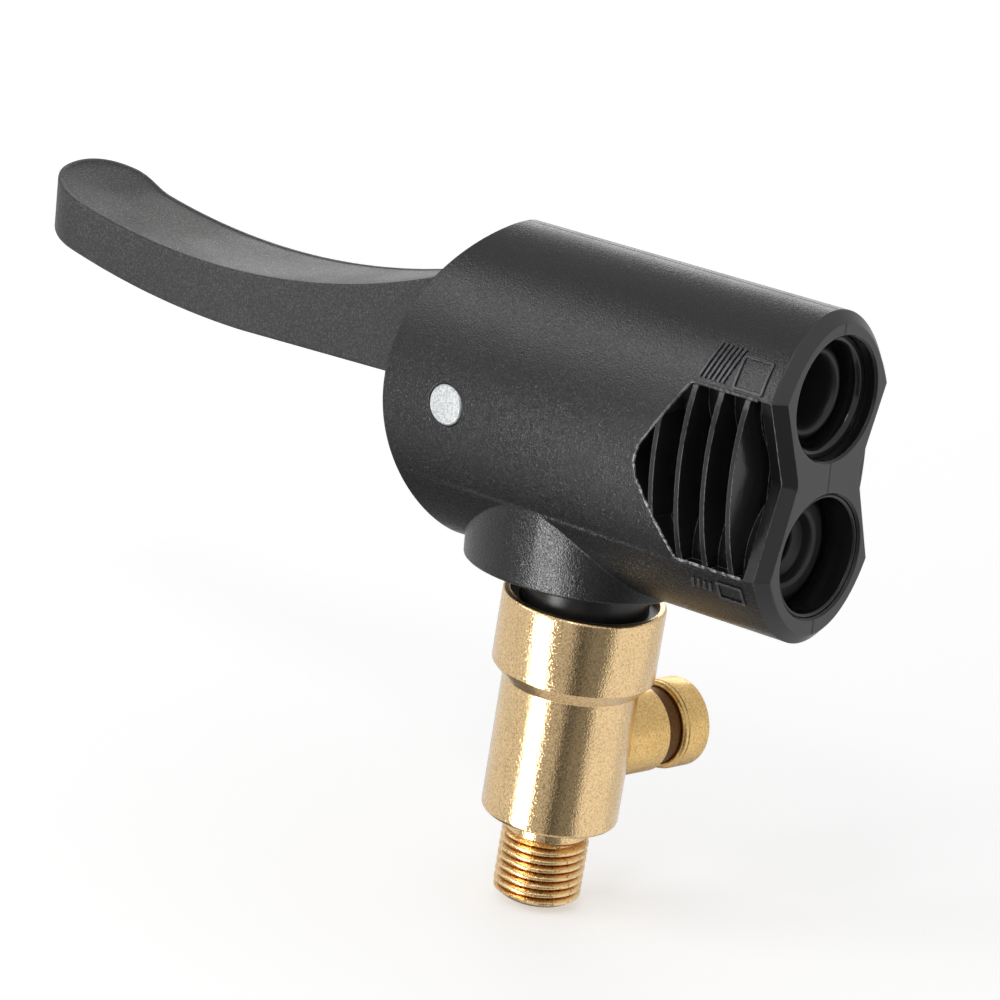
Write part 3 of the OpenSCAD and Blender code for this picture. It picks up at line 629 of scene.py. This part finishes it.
def rod(x0, x1, radius, z=0.0, steps=144):
    """A closed round bar along X."""
    return cylinder(radius, x1 - x0, Matrix.Translation(((x0 + x1) / 2, 0, z)) @ ALONG_X, steps)


def tool(name, bm, finish=None):
    """A piece to join to another or to cut it with, in the finish that is named."""
    made = as_object(name, bm)
    if finish is not None:
        made.data.materials.append(FINISHES[finish])
    return made


def carve(target, name, bm, finish=None):
    """Cuts a mesh out of a piece. The cut takes the finish."""
    combine(target, tool(name, bm, finish), "DIFFERENCE")


def rear_corner():
    """What the round rear end takes off the barrel."""
    corner = tool("rear_block", slab((-40, -20, -40), (REAR_X, 20, 40)))
    barrel_end = cylinder(REAR_RADIUS, 60, Matrix.Translation((REAR_X, 0, -1.8)) @ ALONG_Y, 320)
    carve(corner, "rear_round", barrel_end)
    corner.data.materials.append(FINISHES["head"])
    return corner


def swivel_boss():
    """Oval boss under the barrel, rounded at its foot."""
    boss = cylinder(1, 1, Matrix.Translation((-4, 0, -10.74)) @ Matrix.Diagonal((13.4, 9.7, 17, 1)))
    soften(boss, 0.45, 3, 40, [e for e in boss.edges if all(v.co.z < -19 for v in e.verts)])
    return tool("boss", boss, "head")


def grip_recess():
    """Six-sided pocket through the head that leaves the bores' walls, a web and the ribs."""
    pocket = prism([(11.2, -0.5), (RECESS_SHOULDER, RECESS_TOP), (RECESS_FRONT, RECESS_TOP),
                    (RECESS_FRONT, RECESS_LOW), (RECESS_SHOULDER, RECESS_LOW)], 20)
    rounded_corner(pocket, lambda a, b: a.x < 12 and b.x < 12 and abs(a.y - b.y) > 1, 2.0)
    pocket = tool("pocket", pocket, "recess")
    for z in reversed(PORT_HEIGHTS):
        carve(pocket, "lobe", rod(5, 32, LOBE, z), "recess")
    carve(pocket, "web", slab((5, -WEB_HALF, -9), (32, WEB_HALF, 9)), "recess")
    for x in RIBS:
        side = [(x + 0.27, 12), (x + 0.5, 6), (x + 0.5, -6), (x + 0.27, -12)]
        side += [(2 * x - a, b) for a, b in reversed(side)]
        carve(pocket, "rib", prism(side, 30, "Z"), "recess")
    return pocket


def paint_front(head):
    """Gives the face, its bevel, the notches and the rib crests their finishes."""
    for key in ("face", "bevel"):
        head.data.materials.append(FINISHES[key])
    front, bevel, polished = (head.data.materials.find(name) for name in ("smooth_face", "bevel_gloss", "recess_gloss"))
    for face in head.data.polygons:
        x, y, z = face.center
        if x > 27.5 and face.normal.x > 0.3:
            notch = face.normal.z * z < 0 and abs(z) < 10.4
            face.material_index = front if face.normal.x > 0.95 else polished if notch else bevel
        elif min(abs(x - rib) for rib in RIBS) < 0.45 and RECESS_LOW - 0.1 < z < RECESS_TOP + 0.1 and abs(y) > 5:
            face.material_index = polished


class CONNECTOR_OT_head(BuildStep, bpy.types.Operator):
    """Build the moulded head with its grip recess, notched face, boss and ports"""
    bl_idname = "connector.head"
    bl_label = "Head"

    def execute(self, context):
        settings = look("head")
        shell = oval_prism(BARREL_BACK, FACE)
        soften(shell, settings.bevel, 1, edges=[e for e in shell.edges if all(v.co.x > 29 for v in e.verts)])
        head = tool("head_shell", shell, "head")
        combine(head, rear_corner(), "DIFFERENCE")
        combine(head, swivel_boss(), "UNION")
        combine(head, grip_recess(), "DIFFERENCE")
        # Notches of the front flange, flared where the face's bevel runs round them
        for side in (1, -1):
            stages = ((26.3, 0), (FACE - settings.bevel, 0), (FACE + 0.4, settings.bevel + 0.4))
            carve(head, "notch", notch_cutter(side, stages), "recess")
        paint_front(head)
        # Ports, lever chamber and pin hole
        for z in reversed(PORT_HEIGHTS):
            port = turned([(0, -1.9), (6.05, -1.9), (6.05, 15.8), (6.6, 15.8), (6.6, 24), (PORT_MOUTH, 24),
                           (PORT_MOUTH, 28.95), (7.05, FACE), (7.2, 32), (0, 32)], look("port").steps)
            carve(head, "port", move(port, Matrix.Translation((0, 0, z)) @ ALONG_X), "bore")
        chamber = slab((-34, -7.1, -12.5), (1.0, 7.1, 12.5))
        soften(chamber, 0.8, 3, 60)
        carve(head, "chamber", chamber, "head")
        carve(head, "pin_hole", move(rod(-20, 20, 2.42, 0, 64), Matrix.Translation(PIVOT) @ X_TO_Y), "head")
        move_piece(head, IN_HEAD)
        finish_piece(head, "head", "black_nylon", None, "head_housing", turn=24)
        # Swivel stub with its seal groove
        stub = turned([(0, 23.6), (7.0, 23.6), (7.2, 23.8), (7.2, 24.25), (6.6, 24.25), (6.6, 25.15), (7.2, 25.15),
                       (7.2, 25.95), (5.86, 25.95), (5.86, 27.65), (7.2, 27.65), (7.2, 34.5), (0, 34.5)])
        add_piece("swivel_stub", stub, ON_STEM, "head", "gloss_black", "stub")
        return {"FINISHED"}


# Side of the lever, from its hinge: each arc is its centre (x, z) and its radius
TOP_ARC = (-40.7, 100.6, 94.6)
HOOK_ARC = (-50.56, 51.99, 45.0)
BELLY_ARC = (-35.2, 115.34, 116.0)
TIP_ARC = (-66.65, 6.16, 2.4)
HOOK_START = -59.5
ROOT_HEIGHT, ROOT_SLOPE = 0.23, 0.0253
# The far rim rises by this much, over a run from one x and across from one y
FAR_RIM_RISE, FAR_RIM_X, FAR_RIM_RUN, FAR_RIM_Y, FAR_RIM_SPAN = 0.75, -60.0, 5.0, -2.0, 8.9
HIGHEST_TOP = 12.4
# Radius, x and z of the hub and of the round under it
HUB_ROUNDS = ((9.6, 0.0, 0.0), (5.5, 2.5, -5.66))


def arc_below(arc, x):
    """Height of an arc's lower side at x."""
    centre_x, centre_z, radius = arc
    return centre_z - math.sqrt(max(0.0, radius ** 2 - (x - centre_x) ** 2))


def ease(t):
    """Smooth step from 0 to 1."""
    t = min(1.0, max(0.0, t))
    return t * t * (3 - 2 * t)


def blade_top(x, y):
    """Height of the dished top, whose far rim rises towards the tip."""
    if x > HOOK_START:
        return arc_below(TOP_ARC, x)
    across = ease((y - FAR_RIM_Y) / FAR_RIM_SPAN)
    return arc_below(HOOK_ARC, x) + FAR_RIM_RISE * ease((FAR_RIM_X - x) / FAR_RIM_RUN) * across


def blade_bottom(x):
    """Height of the bellied underside."""
    if x > BELLY_ARC[0]:
        return ROOT_HEIGHT + ROOT_SLOPE * x
    return arc_below(BELLY_ARC if x > TIP_ARC[0] else TIP_ARC, x)


def cut(bm, place, across):
    """Cuts a mesh's faces along a plane, without parting them."""
    bmesh.ops.bisect_plane(bm, geom=bm.verts[:] + bm.edges[:] + bm.faces[:], plane_co=place, plane_no=across, dist=1e-4)


class CONNECTOR_OT_lever(BuildStep, bpy.types.Operator):
    """Build the dished lever with its rim, round tip and hub"""
    bl_idname = "connector.lever"
    bl_label = "Lever"

    def execute(self, context):
        bm = slab((-LEVER_REACH, -LEVER_HALF_W, 0), (-1, LEVER_HALF_W, BLANK_H))
        rounded_corner(bm, lambda a, b: a.x < -68 and b.x < -68 and abs(a.z - b.z) > 1, LEVER_HALF_W - 0.04, 28)
        # Rim round the top, then the step down to the dish
        for thickness, depth in ((look("lever").rim, 0), (0.22, -0.13)):
            top = max((f for f in bm.faces if f.normal.z > 0.9), key=lambda f: f.calc_area())
            bmesh.ops.inset_region(bm, faces=[top], thickness=thickness, depth=depth, use_even_offset=True)
        for height, round_off, segments in ((BLANK_H, 0.28, 3), (0, 0.3, 2)):
            soften(bm, round_off, segments, edges=[e for e in bm.edges if e.calc_face_angle(0) > 1.2
                                                   and all(abs(v.co.z - height) < 1e-4 for v in e.verts)])
        # Cuts across, closer together towards the tip, and along
        x = -68.9
        while x < -2:
            cut(bm, (x, 0, 0), (1, 0, 0))
            x += 0.12 if x < -68 else 0.3 if x < -64 else 0.9
        for y in (-5, -3, -1, 1, 3, 5):
            cut(bm, (0, y, 0), (0, 1, 0))
        for v in bm.verts:
            if v.co.z > BLANK_H / 2:
                v.co.z += min(HIGHEST_TOP, blade_top(v.co.x, v.co.y)) - BLANK_H
            else:
                v.co.z += blade_bottom(v.co.x)
        lever = as_object("lever_blade", bm)
        for radius, x, z in HUB_ROUNDS:
            hub = cylinder(radius, 2 * LEVER_HALF_W, Matrix.Translation((x, 0, z)) @ ALONG_Y)
            soften(hub, 0.3, 2, 60)
            combine(lever, tool("hub", hub), "UNION")
        carve(lever, "hub_bore", move(rod(-20, 20, 3.15, 0, 64), X_TO_Y))
        move_piece(lever, AT_HINGE)
        finish_piece(lever, "lever", "lever_nylon", "lever", "lever", turn=22)
        return {"FINISHED"}


class CONNECTOR_OT_pin(BuildStep, bpy.types.Operator):
    """Build the pivot pin with its cut ends"""
    bl_idname = "connector.pin"
    bl_label = "Pivot pin"

    def execute(self, context):
        pin = turned([(0, -11.75), (2.12, -11.73), (2.3, -11.55), (2.3, 11.55), (2.12, 11.73), (0, 11.75)], 72)
        add_piece("pin", pin, AT_HINGE @ ALONG_Y, "head", "steel_pin", "pin", "pivot_pin")
        return {"FINISHED"}


# Rings of both ports: name, height, outline of (radius, x), rounding, finish, slot, node and sharpest smooth turn
UPPER, LOWER = PORT_HEIGHTS
PORT_RINGS = (
    ("wide_gasket", UPPER, [(3.85, 19.0), (6.5, 19.0), (6.5, 24.0), (5.4, 24.0), (5.33, 24.6), (5.33, 25.1),
                            (5.15, 25.55), (4.8, 25.82), (4.5, 25.88), (4.2, 25.75), (3.95, 25.35), (3.85, 24.8)],
     0.0, "rubber", "rubber", "upper_gasket", 35),
    ("wide_ring", UPPER, [(5.75, 24.0), (6.75, 24.0), (6.75, 27.6), (6.15, 27.6), (6.02, 27.5), (5.75, 27.1)],
     0.06, "ring", "gloss_black", "upper_port_ring", 28),
    ("slim_gasket", LOWER, [(2.6, 19.0), (6.5, 19.0), (6.5, 24.0), (6.2, 24.7), (5.5, 25.15), (4.4, 25.2), (3.95, 25.0),
                            (3.78, 24.6), (3.66, 23.95), (3.2, 23.5), (2.7, 23.3), (2.6, 23.1)],
     0.05, "rubber", "rubber", "lower_gasket", 35),
    ("slim_ring", LOWER, [(6.35, 25.2), (6.75, 25.2), (6.75, 28.85), (6.55, 28.9), (6.35, 28.7)],
     0.04, "ring", "gloss_black", "lower_port_ring", 28),
)


class CONNECTOR_OT_ports(BuildStep, bpy.types.Operator):
    """Build the gaskets and retaining rings of both ports"""
    bl_idname = "connector.ports"
    bl_label = "Ports"

    def execute(self, context):
        for name, height, shape, round_off, finish, slot, node, turn in PORT_RINGS:
            place = IN_HEAD @ Matrix.Translation((0, 0, height)) @ ALONG_X
            ring = turned(shape, look("port").steps, True, round_off)
            add_piece(name, ring, place, "head", slot, finish, node, turn=turn)
        return {"FINISHED"}


# Hose thread: the ridge's outline is (radius, height in pitches)
THREAD_START, THREAD_LENGTH, THREAD_STEPS, THREAD_CHAMFER = -4.5, 7.9, 96, 1.4
THREAD_RIDGE = ((4.2, -0.5), (4.48, -0.49), (4.88, -0.2), (4.95, -0.13), (4.95, 0.13), (4.88, 0.2), (4.48, 0.49),
                (4.2, 0.5))


class CONNECTOR_OT_adapter(BuildStep, bpy.types.Operator):
    """Turn the brass adapter, with its collar, body, neck and hose thread"""
    bl_idname = "connector.adapter"
    bl_label = "Adapter"

    def execute(self, context):
        steps = look("port").steps
        shape = [(2.2, -4.4), (3.95, -4.4), (4.3, -4.05), (4.3, 3.3), (4.7, 3.6), (4.7, 5.6), (7.5, 5.6), (7.7, 5.9),
                 (7.7, 21.5), (9.15, 23.1), (9.15, 31.35), (8.9, 31.6), (8.45, 31.6), (8.3, 31.45), (8.3, 29.6),
                 (7.25, 29.6), (7.25, 23.3), (2.2, 23.3)]
        piece = as_object("adapter", turned(shape, steps, True, 0.12))
        way = move(turned([(0, 0), (2.6, 0), (2.6, 5), (3.2, 5), (3.2, 9), (0, 9)], VALVE_STEPS), TO_VALVE)
        carve(piece, "valve_way", way)
        move_piece(piece, ON_STEM)
        finish_piece(piece, "adapter", "brass", "brass", "adapter_body")
        # Hose thread: one ridge wound round the core, its ends chamfered away
        pitch = look("brass").pitch
        rounds = THREAD_LENGTH / pitch
        bm = bmesh.new()
        lines = closed_loop(bm, [(r, 0, THREAD_START + z * pitch) for r, z in THREAD_RIDGE])
        bmesh.ops.spin(bm, geom=bm.verts[:] + lines, cent=(0, 0, 0), axis=(0, 0, 1), angle=math.tau * rounds,
                       steps=int(THREAD_STEPS * rounds), dvec=(0, 0, pitch / THREAD_STEPS), use_merge=False)
        bmesh.ops.holes_fill(bm, edges=[e for e in bm.edges if e.is_boundary], sides=0)
        for v in bm.verts:
            reach = math.hypot(v.co.x, v.co.y)
            room = max(3.8, min(3.9 + (v.co.z + 4.45) * THREAD_CHAMFER,
                                4.2 + max(0.0, 3.75 - v.co.z) * THREAD_CHAMFER))
            if reach > room:
                v.co.x *= room / reach
                v.co.y *= room / reach
            v.co.z = max(v.co.z, -4.38)
        add_piece("hose_thread", bm, ON_STEM, "adapter", "brass", "thread", turn=60)
        return {"FINISHED"}


# Turned pieces of the bleed valve: name, outline of (radius, reach), closed, rounding, body, slot, finish and nodes
VALVE_PIECES = (
    ("valve_boss", [(3.2, 6.0), (4.95, 6.0), (4.95, 12.1), (4.75, 12.3), (4.0, 12.3), (3.2, 12.3)],
     True, 0.06, "adapter", "yellow_brass", "valve", ()),
    ("valve_neck", [(1.3, 5.0), (3.18, 5.0), (3.18, 12.3), (4.4, 12.3), (4.4, 15.3), (4.3, 15.4), (3.25, 15.4),
                    (3.25, 13.0), (1.3, 13.0)],
     True, 0.0, "adapter", "dark_brass", "groove", ("bleed_cartridge",)),
    ("button", [(0, 17.0), (4.45, 17.0), (4.45, 14.3), (4.75, 14.3), (5.0, 14.6), (5.0, 14.95), (5.1, 15.05),
                (5.1, 17.8), (5.0, 18.12), (4.75, 18.26), (0, 18.26)],
     False, 0.05, "bleed_push", "yellow_brass", "valve", ("bleed_button",)),
)


class CONNECTOR_OT_valve(BuildStep, bpy.types.Operator):
    """Turn the bleed valve: boss, tarnished groove and push button"""
    bl_idname = "connector.valve"
    bl_label = "Bleed valve"

    def execute(self, context):
        for name, shape, closed, round_off, body, slot, finish, nodes in VALVE_PIECES:
            add_piece(name, turned(shape, VALVE_STEPS, closed, round_off), ON_VALVE, body, slot, finish, *nodes)
        return {"FINISHED"}


def oval(z):
    """Half width of the barrel at a height in the head."""
    return BARREL_HALF_W * math.sqrt(1 - ((z + BARREL_DROP) / BARREL_HALF_H) ** 2)


LIP_HALF_W, LIP_H, LIP_FRONT = 0.2, 0.13, 26.2
LIP_CORNERS = ((LIP_FRONT, RECESS_TOP), (RECESS_SHOULDER, RECESS_TOP), (12.35, 1.3), (11.95, -0.5), (12.35, -2.3),
               (RECESS_SHOULDER, RECESS_LOW), (LIP_FRONT, RECESS_LOW))


class CONNECTOR_OT_lips(BuildStep, bpy.types.Operator):
    """Run a fine glossy lip round each grip recess"""
    bl_idname = "connector.lips"
    bl_label = "Recess lips"

    def execute(self, context):
        corners = [Vector(p) for p in LIP_CORNERS]
        path = [a.lerp(b, i / 12) for a, b in zip(corners, corners[1:]) for i in range(12)] + [corners[-1]]
        points = [Vector((p.x, -oval(p.y), p.y)) for p in path]
        for side, mirror in SIDES:
            bm = bmesh.new()
            loops = []
            for i, point in enumerate(points):
                run = (points[min(i + 1, len(points) - 1)] - points[max(i - 1, 0)]).normalized()
                out = Vector((0, point.y / BARREL_HALF_W ** 2, (point.z + BARREL_DROP) / BARREL_HALF_H ** 2))
                out.normalize()
                across = run.cross(out)
                loops.append(closed_loop(bm, [point + across * (LIP_HALF_W * math.cos(a)) + out * (LIP_H * math.sin(a))
                                              for a in (math.tau * k / 10 for k in range(10))]))
            loft(bm, loops)
            bmesh.ops.scale(bm, vec=(1, mirror, 1), verts=bm.verts)
            add_piece("recess_lip_" + side, bm, IN_HEAD, "head", "gloss_black", "lip", turn=60)
        return {"FINISHED"}


def bar(bm, x0, z0, x1, z1, wide, rise=0.2, sink=0.3):
    """A raised line between two points on the barrel's side."""
    run = Vector((x1 - x0, 0, z1 - z0))
    before = len(bm.verts)
    made = bmesh.ops.create_cube(bm, size=1.0)["verts"]
    bmesh.ops.scale(bm, vec=(run.length, 0.5, wide), verts=made)
    edges = list({e for v in made for e in v.link_edges if abs(e.verts[0].co.x - e.verts[1].co.x) > 0.1})
    bmesh.ops.subdivide_edges(bm, edges=edges, cuts=5)
    bm.verts.ensure_lookup_table()
    made = bm.verts[before:]
    turn = Matrix.Rotation(-math.atan2(run.z, run.x), 4, "Y")
    bmesh.ops.transform(bm, matrix=Matrix.Translation(((x0 + x1) / 2, 0, (z0 + z1) / 2)) @ turn, verts=made)
    for v in made:
        v.co.y = -oval(v.co.z) - (rise if v.co.y < 0 else -sink)


# Marks: name, the hatch's first line (x0, z0, x1, z1), its step and count, line width, and the frame's corners
MARKS = (
    ("upper_marks", (18.1, 10.0, 19.3, 13.7), 0.62, 6, 0.24, (22.7, 9.9, 26.4, 13.1)),
    ("lower_marks", (19.2, -13.1, 19.45, -12.0), 0.8, 4, 0.26, (22.8, -13.5, 26.0, -11.7)),
)
FRAME_LINE = 0.26


class CONNECTOR_OT_pictograms(BuildStep, bpy.types.Operator):
    """Raise the hatch and frame marks beside the ports"""
    bl_idname = "connector.pictograms"
    bl_label = "Port marks"

    def execute(self, context):
        for name, (hx0, hz0, hx1, hz1), step, count, wide, (x0, z0, x1, z1) in MARKS:
            for side, mirror in SIDES:
                bm = bmesh.new()
                for i in range(count):
                    bar(bm, hx0 + step * i, hz0, hx1 + step * i, hz1, wide)
                for line in ((x0, z0, x1, z0), (x0, z1, x1, z1), (x0, z0, x0, z1), (x1, z0, x1, z1)):
                    bar(bm, *line, FRAME_LINE)
                bmesh.ops.scale(bm, vec=(1, mirror, 1), verts=bm.verts)
                add_piece(name + "_" + side, bm, IN_HEAD, "head", "black_nylon", "mark")
        return {"FINISHED"}


INNER_NODES = {
    "rubber": ("stub_dust_seal", "bleed_seat", "stub_seal", "upper_plunger_seal", "lower_plunger_seal"),
    "steel": ("snap_ring", "bleed_spring", "upper_washer", "lower_washer"),
    "valve": ("bleed_stem", "valve_depressor"),
    "bronze": ("lever_bush",),
    "acetal": ("pressure_bridge", "upper_plunger", "lower_plunger"),
}


class CONNECTOR_OT_inner_parts(BuildStep, bpy.types.Operator):
    """Give the inner parts their finishes"""
    bl_idname = "connector.inner_parts"
    bl_label = "Inner parts"

    def execute(self, context):
        for key, nodes in INNER_NODES.items():
            for node in nodes:
                mesh = frame["nodes"][node].data
                mesh.materials.clear()
                mesh.materials.append(FINISHES[key])
        return {"FINISHED"}


# The cards paint what the gloss and metal reflect in place of the floor: bright_card a highlight strip, dark_card a
# dark band, and the dark left low card the shaded floor behind and left of the object.
# Name, start and end round the object, lowest and highest tilt in degrees, and how bright
REFLECTED_CARDS = (
    ("left_card", -260, -132, -37, 3, 0.8), ("left_low_shade_card", -260, -125, -62, -37, 0.22),
    ("warm_card", -132, -113, -42, 3, 0.85), ("bright_card", -113, -96, -50, -4, 15.0),
    ("middle_card", -96, -57, -54, 3, 0.55), ("dark_card", -57, -38, -58, 3, 0.12),
    ("dim_card", -38, -5, -58, 3, 0.25), ("pale_card", -5, 62, -50, 3, 0.95), ("right_card", 62, 100, -50, 3, 0.75),
)
CARD_REACH, CARD_HEIGHT = 0.6, 0.03
# Name, direction from the object, how far, size and watts
LAMPS = (
    ("key_softbox", (-0.604, -0.70, 0.47), 0.6, (0.32, 0.2), 0.6),
    ("side_softbox", (-0.21, -0.98, 0.42), 0.6, (0.08, 0.2), 0.3),
    ("front_softbox", (0.36, -0.62, 0.70), 0.6, (0.12, 0.12), 0.3),
    ("back_softbox", (-0.6, 0.75, 0.34), 0.8, (0.5, 0.35), 0.9),
)
FLOOR_HALF, FLOOR_GAP, FLOOR_FILL = 3.0, 0.0003, 0.42
WORLD_LEVEL, WORLD_IN_GLOSS, WORLD_TO_CAMERA = 0.55, 0.15, 0.45
CAMERA_LENS, CAMERA_SENSOR = 205.2, 36.0
CAMERA_PLACE = (0.371465, -0.47256, 0.215784)
CAMERA_RIGHT, CAMERA_UP, CAMERA_BEHIND = (0.7572, 0.6467, 0.0914), (-0.2489, 0.1563, 0.9558), (0.6039, -0.7465, 0.2793)


def stage_finish(name, base, emission):
    """A dull white or black surface that also glows."""
    finish = bpy.data.materials.new(name)
    finish.use_nodes = True
    shader = finish.node_tree.nodes["Principled BSDF"]
    shader.inputs["Base Color"].default_value = (base, base, base, 1)
    shader.inputs["Specular IOR Level"].default_value = 0.0
    shader.inputs["Emission Color"].default_value = (1, 1, 1, 1)
    shader.inputs["Emission Strength"].default_value = emission
    return finish, shader


def pale_floor():
    """Floor filled towards white where the camera sees it, so that the shadow stays."""
    bm = bmesh.new()
    bmesh.ops.create_grid(bm, x_segments=1, y_segments=1, size=FLOOR_HALF)
    floor = as_object("floor", bm, Matrix.Translation((0, 0, SOLID_BOX[0][2] - FLOOR_GAP)))
    finish, shader = stage_finish("pale_floor", 0.8, 0.0)
    shader.inputs["Roughness"].default_value = 0.9
    s = Shader(finish.node_tree)
    seen = s.node("ShaderNodeLightPath").outputs["Is Camera Ray"]
    s.join(s.times(seen, FLOOR_FILL), shader.inputs["Emission Strength"])
    floor.data.materials.append(finish)
    floor.visible_glossy = False


def reflected_card(name, start, end, low_tilt, high_tilt, level):
    """A card round the object that only its gloss and metal see, in place of the floor."""
    bm = bmesh.new()
    ends = [bm.verts.new((CARD_REACH, 0, CARD_HEIGHT + CARD_REACH * math.tan(math.radians(tilt))))
            for tilt in (low_tilt, high_tilt)]
    line = bm.edges.new(ends)
    bmesh.ops.spin(bm, geom=ends + [line], cent=(0, 0, 0), axis=(0, 0, 1), angle=math.radians(end - start), steps=48,
                   use_merge=False)
    bmesh.ops.remove_doubles(bm, verts=bm.verts, dist=1e-6)
    card = as_object(name, bm, Matrix.Rotation(math.radians(start), 4, "Z"))
    card.data.materials.append(stage_finish(name, 0.0, level)[0])
    card.visible_camera = card.visible_diffuse = card.visible_shadow = card.visible_transmission = False


def white_world(scene):
    """Even white surroundings, dimmer to the object than to the camera."""
    world = bpy.data.worlds.new("studio")
    scene.world = world
    world.use_nodes = True
    s = Shader(world.node_tree)
    back = world.node_tree.nodes["Background"]
    seen = s.node("ShaderNodeLightPath")
    level = s.math("MULTIPLY_ADD", seen.outputs["Is Glossy Ray"], WORLD_IN_GLOSS, WORLD_LEVEL)
    s.join(s.math("MULTIPLY_ADD", seen.outputs["Is Camera Ray"], WORLD_TO_CAMERA, level), back.inputs["Strength"])
    back.inputs["Color"].default_value = (1, 1, 1, 1)


def softbox(scene, middle, name, direction, reach, size, watts):
    data = bpy.data.lights.new(name, "AREA")
    data.shape, data.size, data.size_y, data.energy = "RECTANGLE", *size, watts
    lamp = bpy.data.objects.new(name, data)
    lamp.location = middle + Vector(direction) * reach
    lamp.rotation_euler = (middle - lamp.location).to_track_quat("-Z", "Y").to_euler()
    scene.collection.objects.link(lamp)


def stage_camera(scene):
    data = bpy.data.cameras.new("camera")
    data.lens, data.sensor_width = CAMERA_LENS, CAMERA_SENSOR
    data.clip_start, data.clip_end = 0.01, 20.0
    camera = bpy.data.objects.new("camera", data)
    spin = Matrix((CAMERA_RIGHT, CAMERA_UP, CAMERA_BEHIND)).transposed()
    camera.matrix_world = Matrix.Translation(CAMERA_PLACE) @ spin.to_4x4()
    scene.collection.objects.link(camera)
    scene.camera = camera


class CONNECTOR_OT_stage(BuildStep, bpy.types.Operator):
    """Set the pale floor, the soft lights and the camera"""
    bl_idname = "connector.stage"
    bl_label = "Stage"

    def execute(self, context):
        scene = context.scene
        scene.view_settings.view_transform = "Standard"
        middle = (Vector(SOLID_BOX[0]) + Vector(SOLID_BOX[1])) / 2
        pale_floor()
        for card in REFLECTED_CARDS:
            reflected_card(*card)
        white_world(scene)
        for lamp in LAMPS:
            softbox(scene, middle, *lamp)
        stage_camera(scene)
        return {"FINISHED"}


OPERATORS = (CONNECTOR_OT_head, CONNECTOR_OT_lever, CONNECTOR_OT_pin, CONNECTOR_OT_ports, CONNECTOR_OT_adapter,
             CONNECTOR_OT_valve, CONNECTOR_OT_lips, CONNECTOR_OT_pictograms, CONNECTOR_OT_inner_parts,
             CONNECTOR_OT_stage)


class CONNECTOR_PT_panel(bpy.types.Panel):
    """Sizes, colours and building steps of the connector"""
    bl_idname = "CONNECTOR_PT_panel"
    bl_label = "Connector"
    bl_space_type = "VIEW_3D"
    bl_region_type = "UI"
    bl_category = "Connector"

    def draw(self, context):
        for key, group_class in LOOKS.items():
            box = self.layout.box()
            box.label(text=key.title())
            for prop in group_class.__annotations__:
                box.prop(look(key), prop)
        for operator in OPERATORS:
            self.layout.operator(operator.bl_idname)


CLASSES = (*LOOKS.values(), *OPERATORS, CONNECTOR_PT_panel)


def register():
    for made in CLASSES:
        bpy.utils.register_class(made)
    for key, group_class in LOOKS.items():
        setattr(bpy.types.Scene, "connector_" + key, PointerProperty(type=group_class))


def unregister():
    for key in LOOKS:
        delattr(bpy.types.Scene, "connector_" + key)
    for made in reversed(CLASSES):
        bpy.utils.unregister_class(made)


def main():
    register()
    make_finishes()
    for operator in OPERATORS:
        category, name = operator.bl_idname.split(".")
        if getattr(getattr(bpy.ops, category), name)() != {"FINISHED"}:
            raise RuntimeError(operator.bl_label + " didn't finish")


if __name__ == "__main__":
    main()
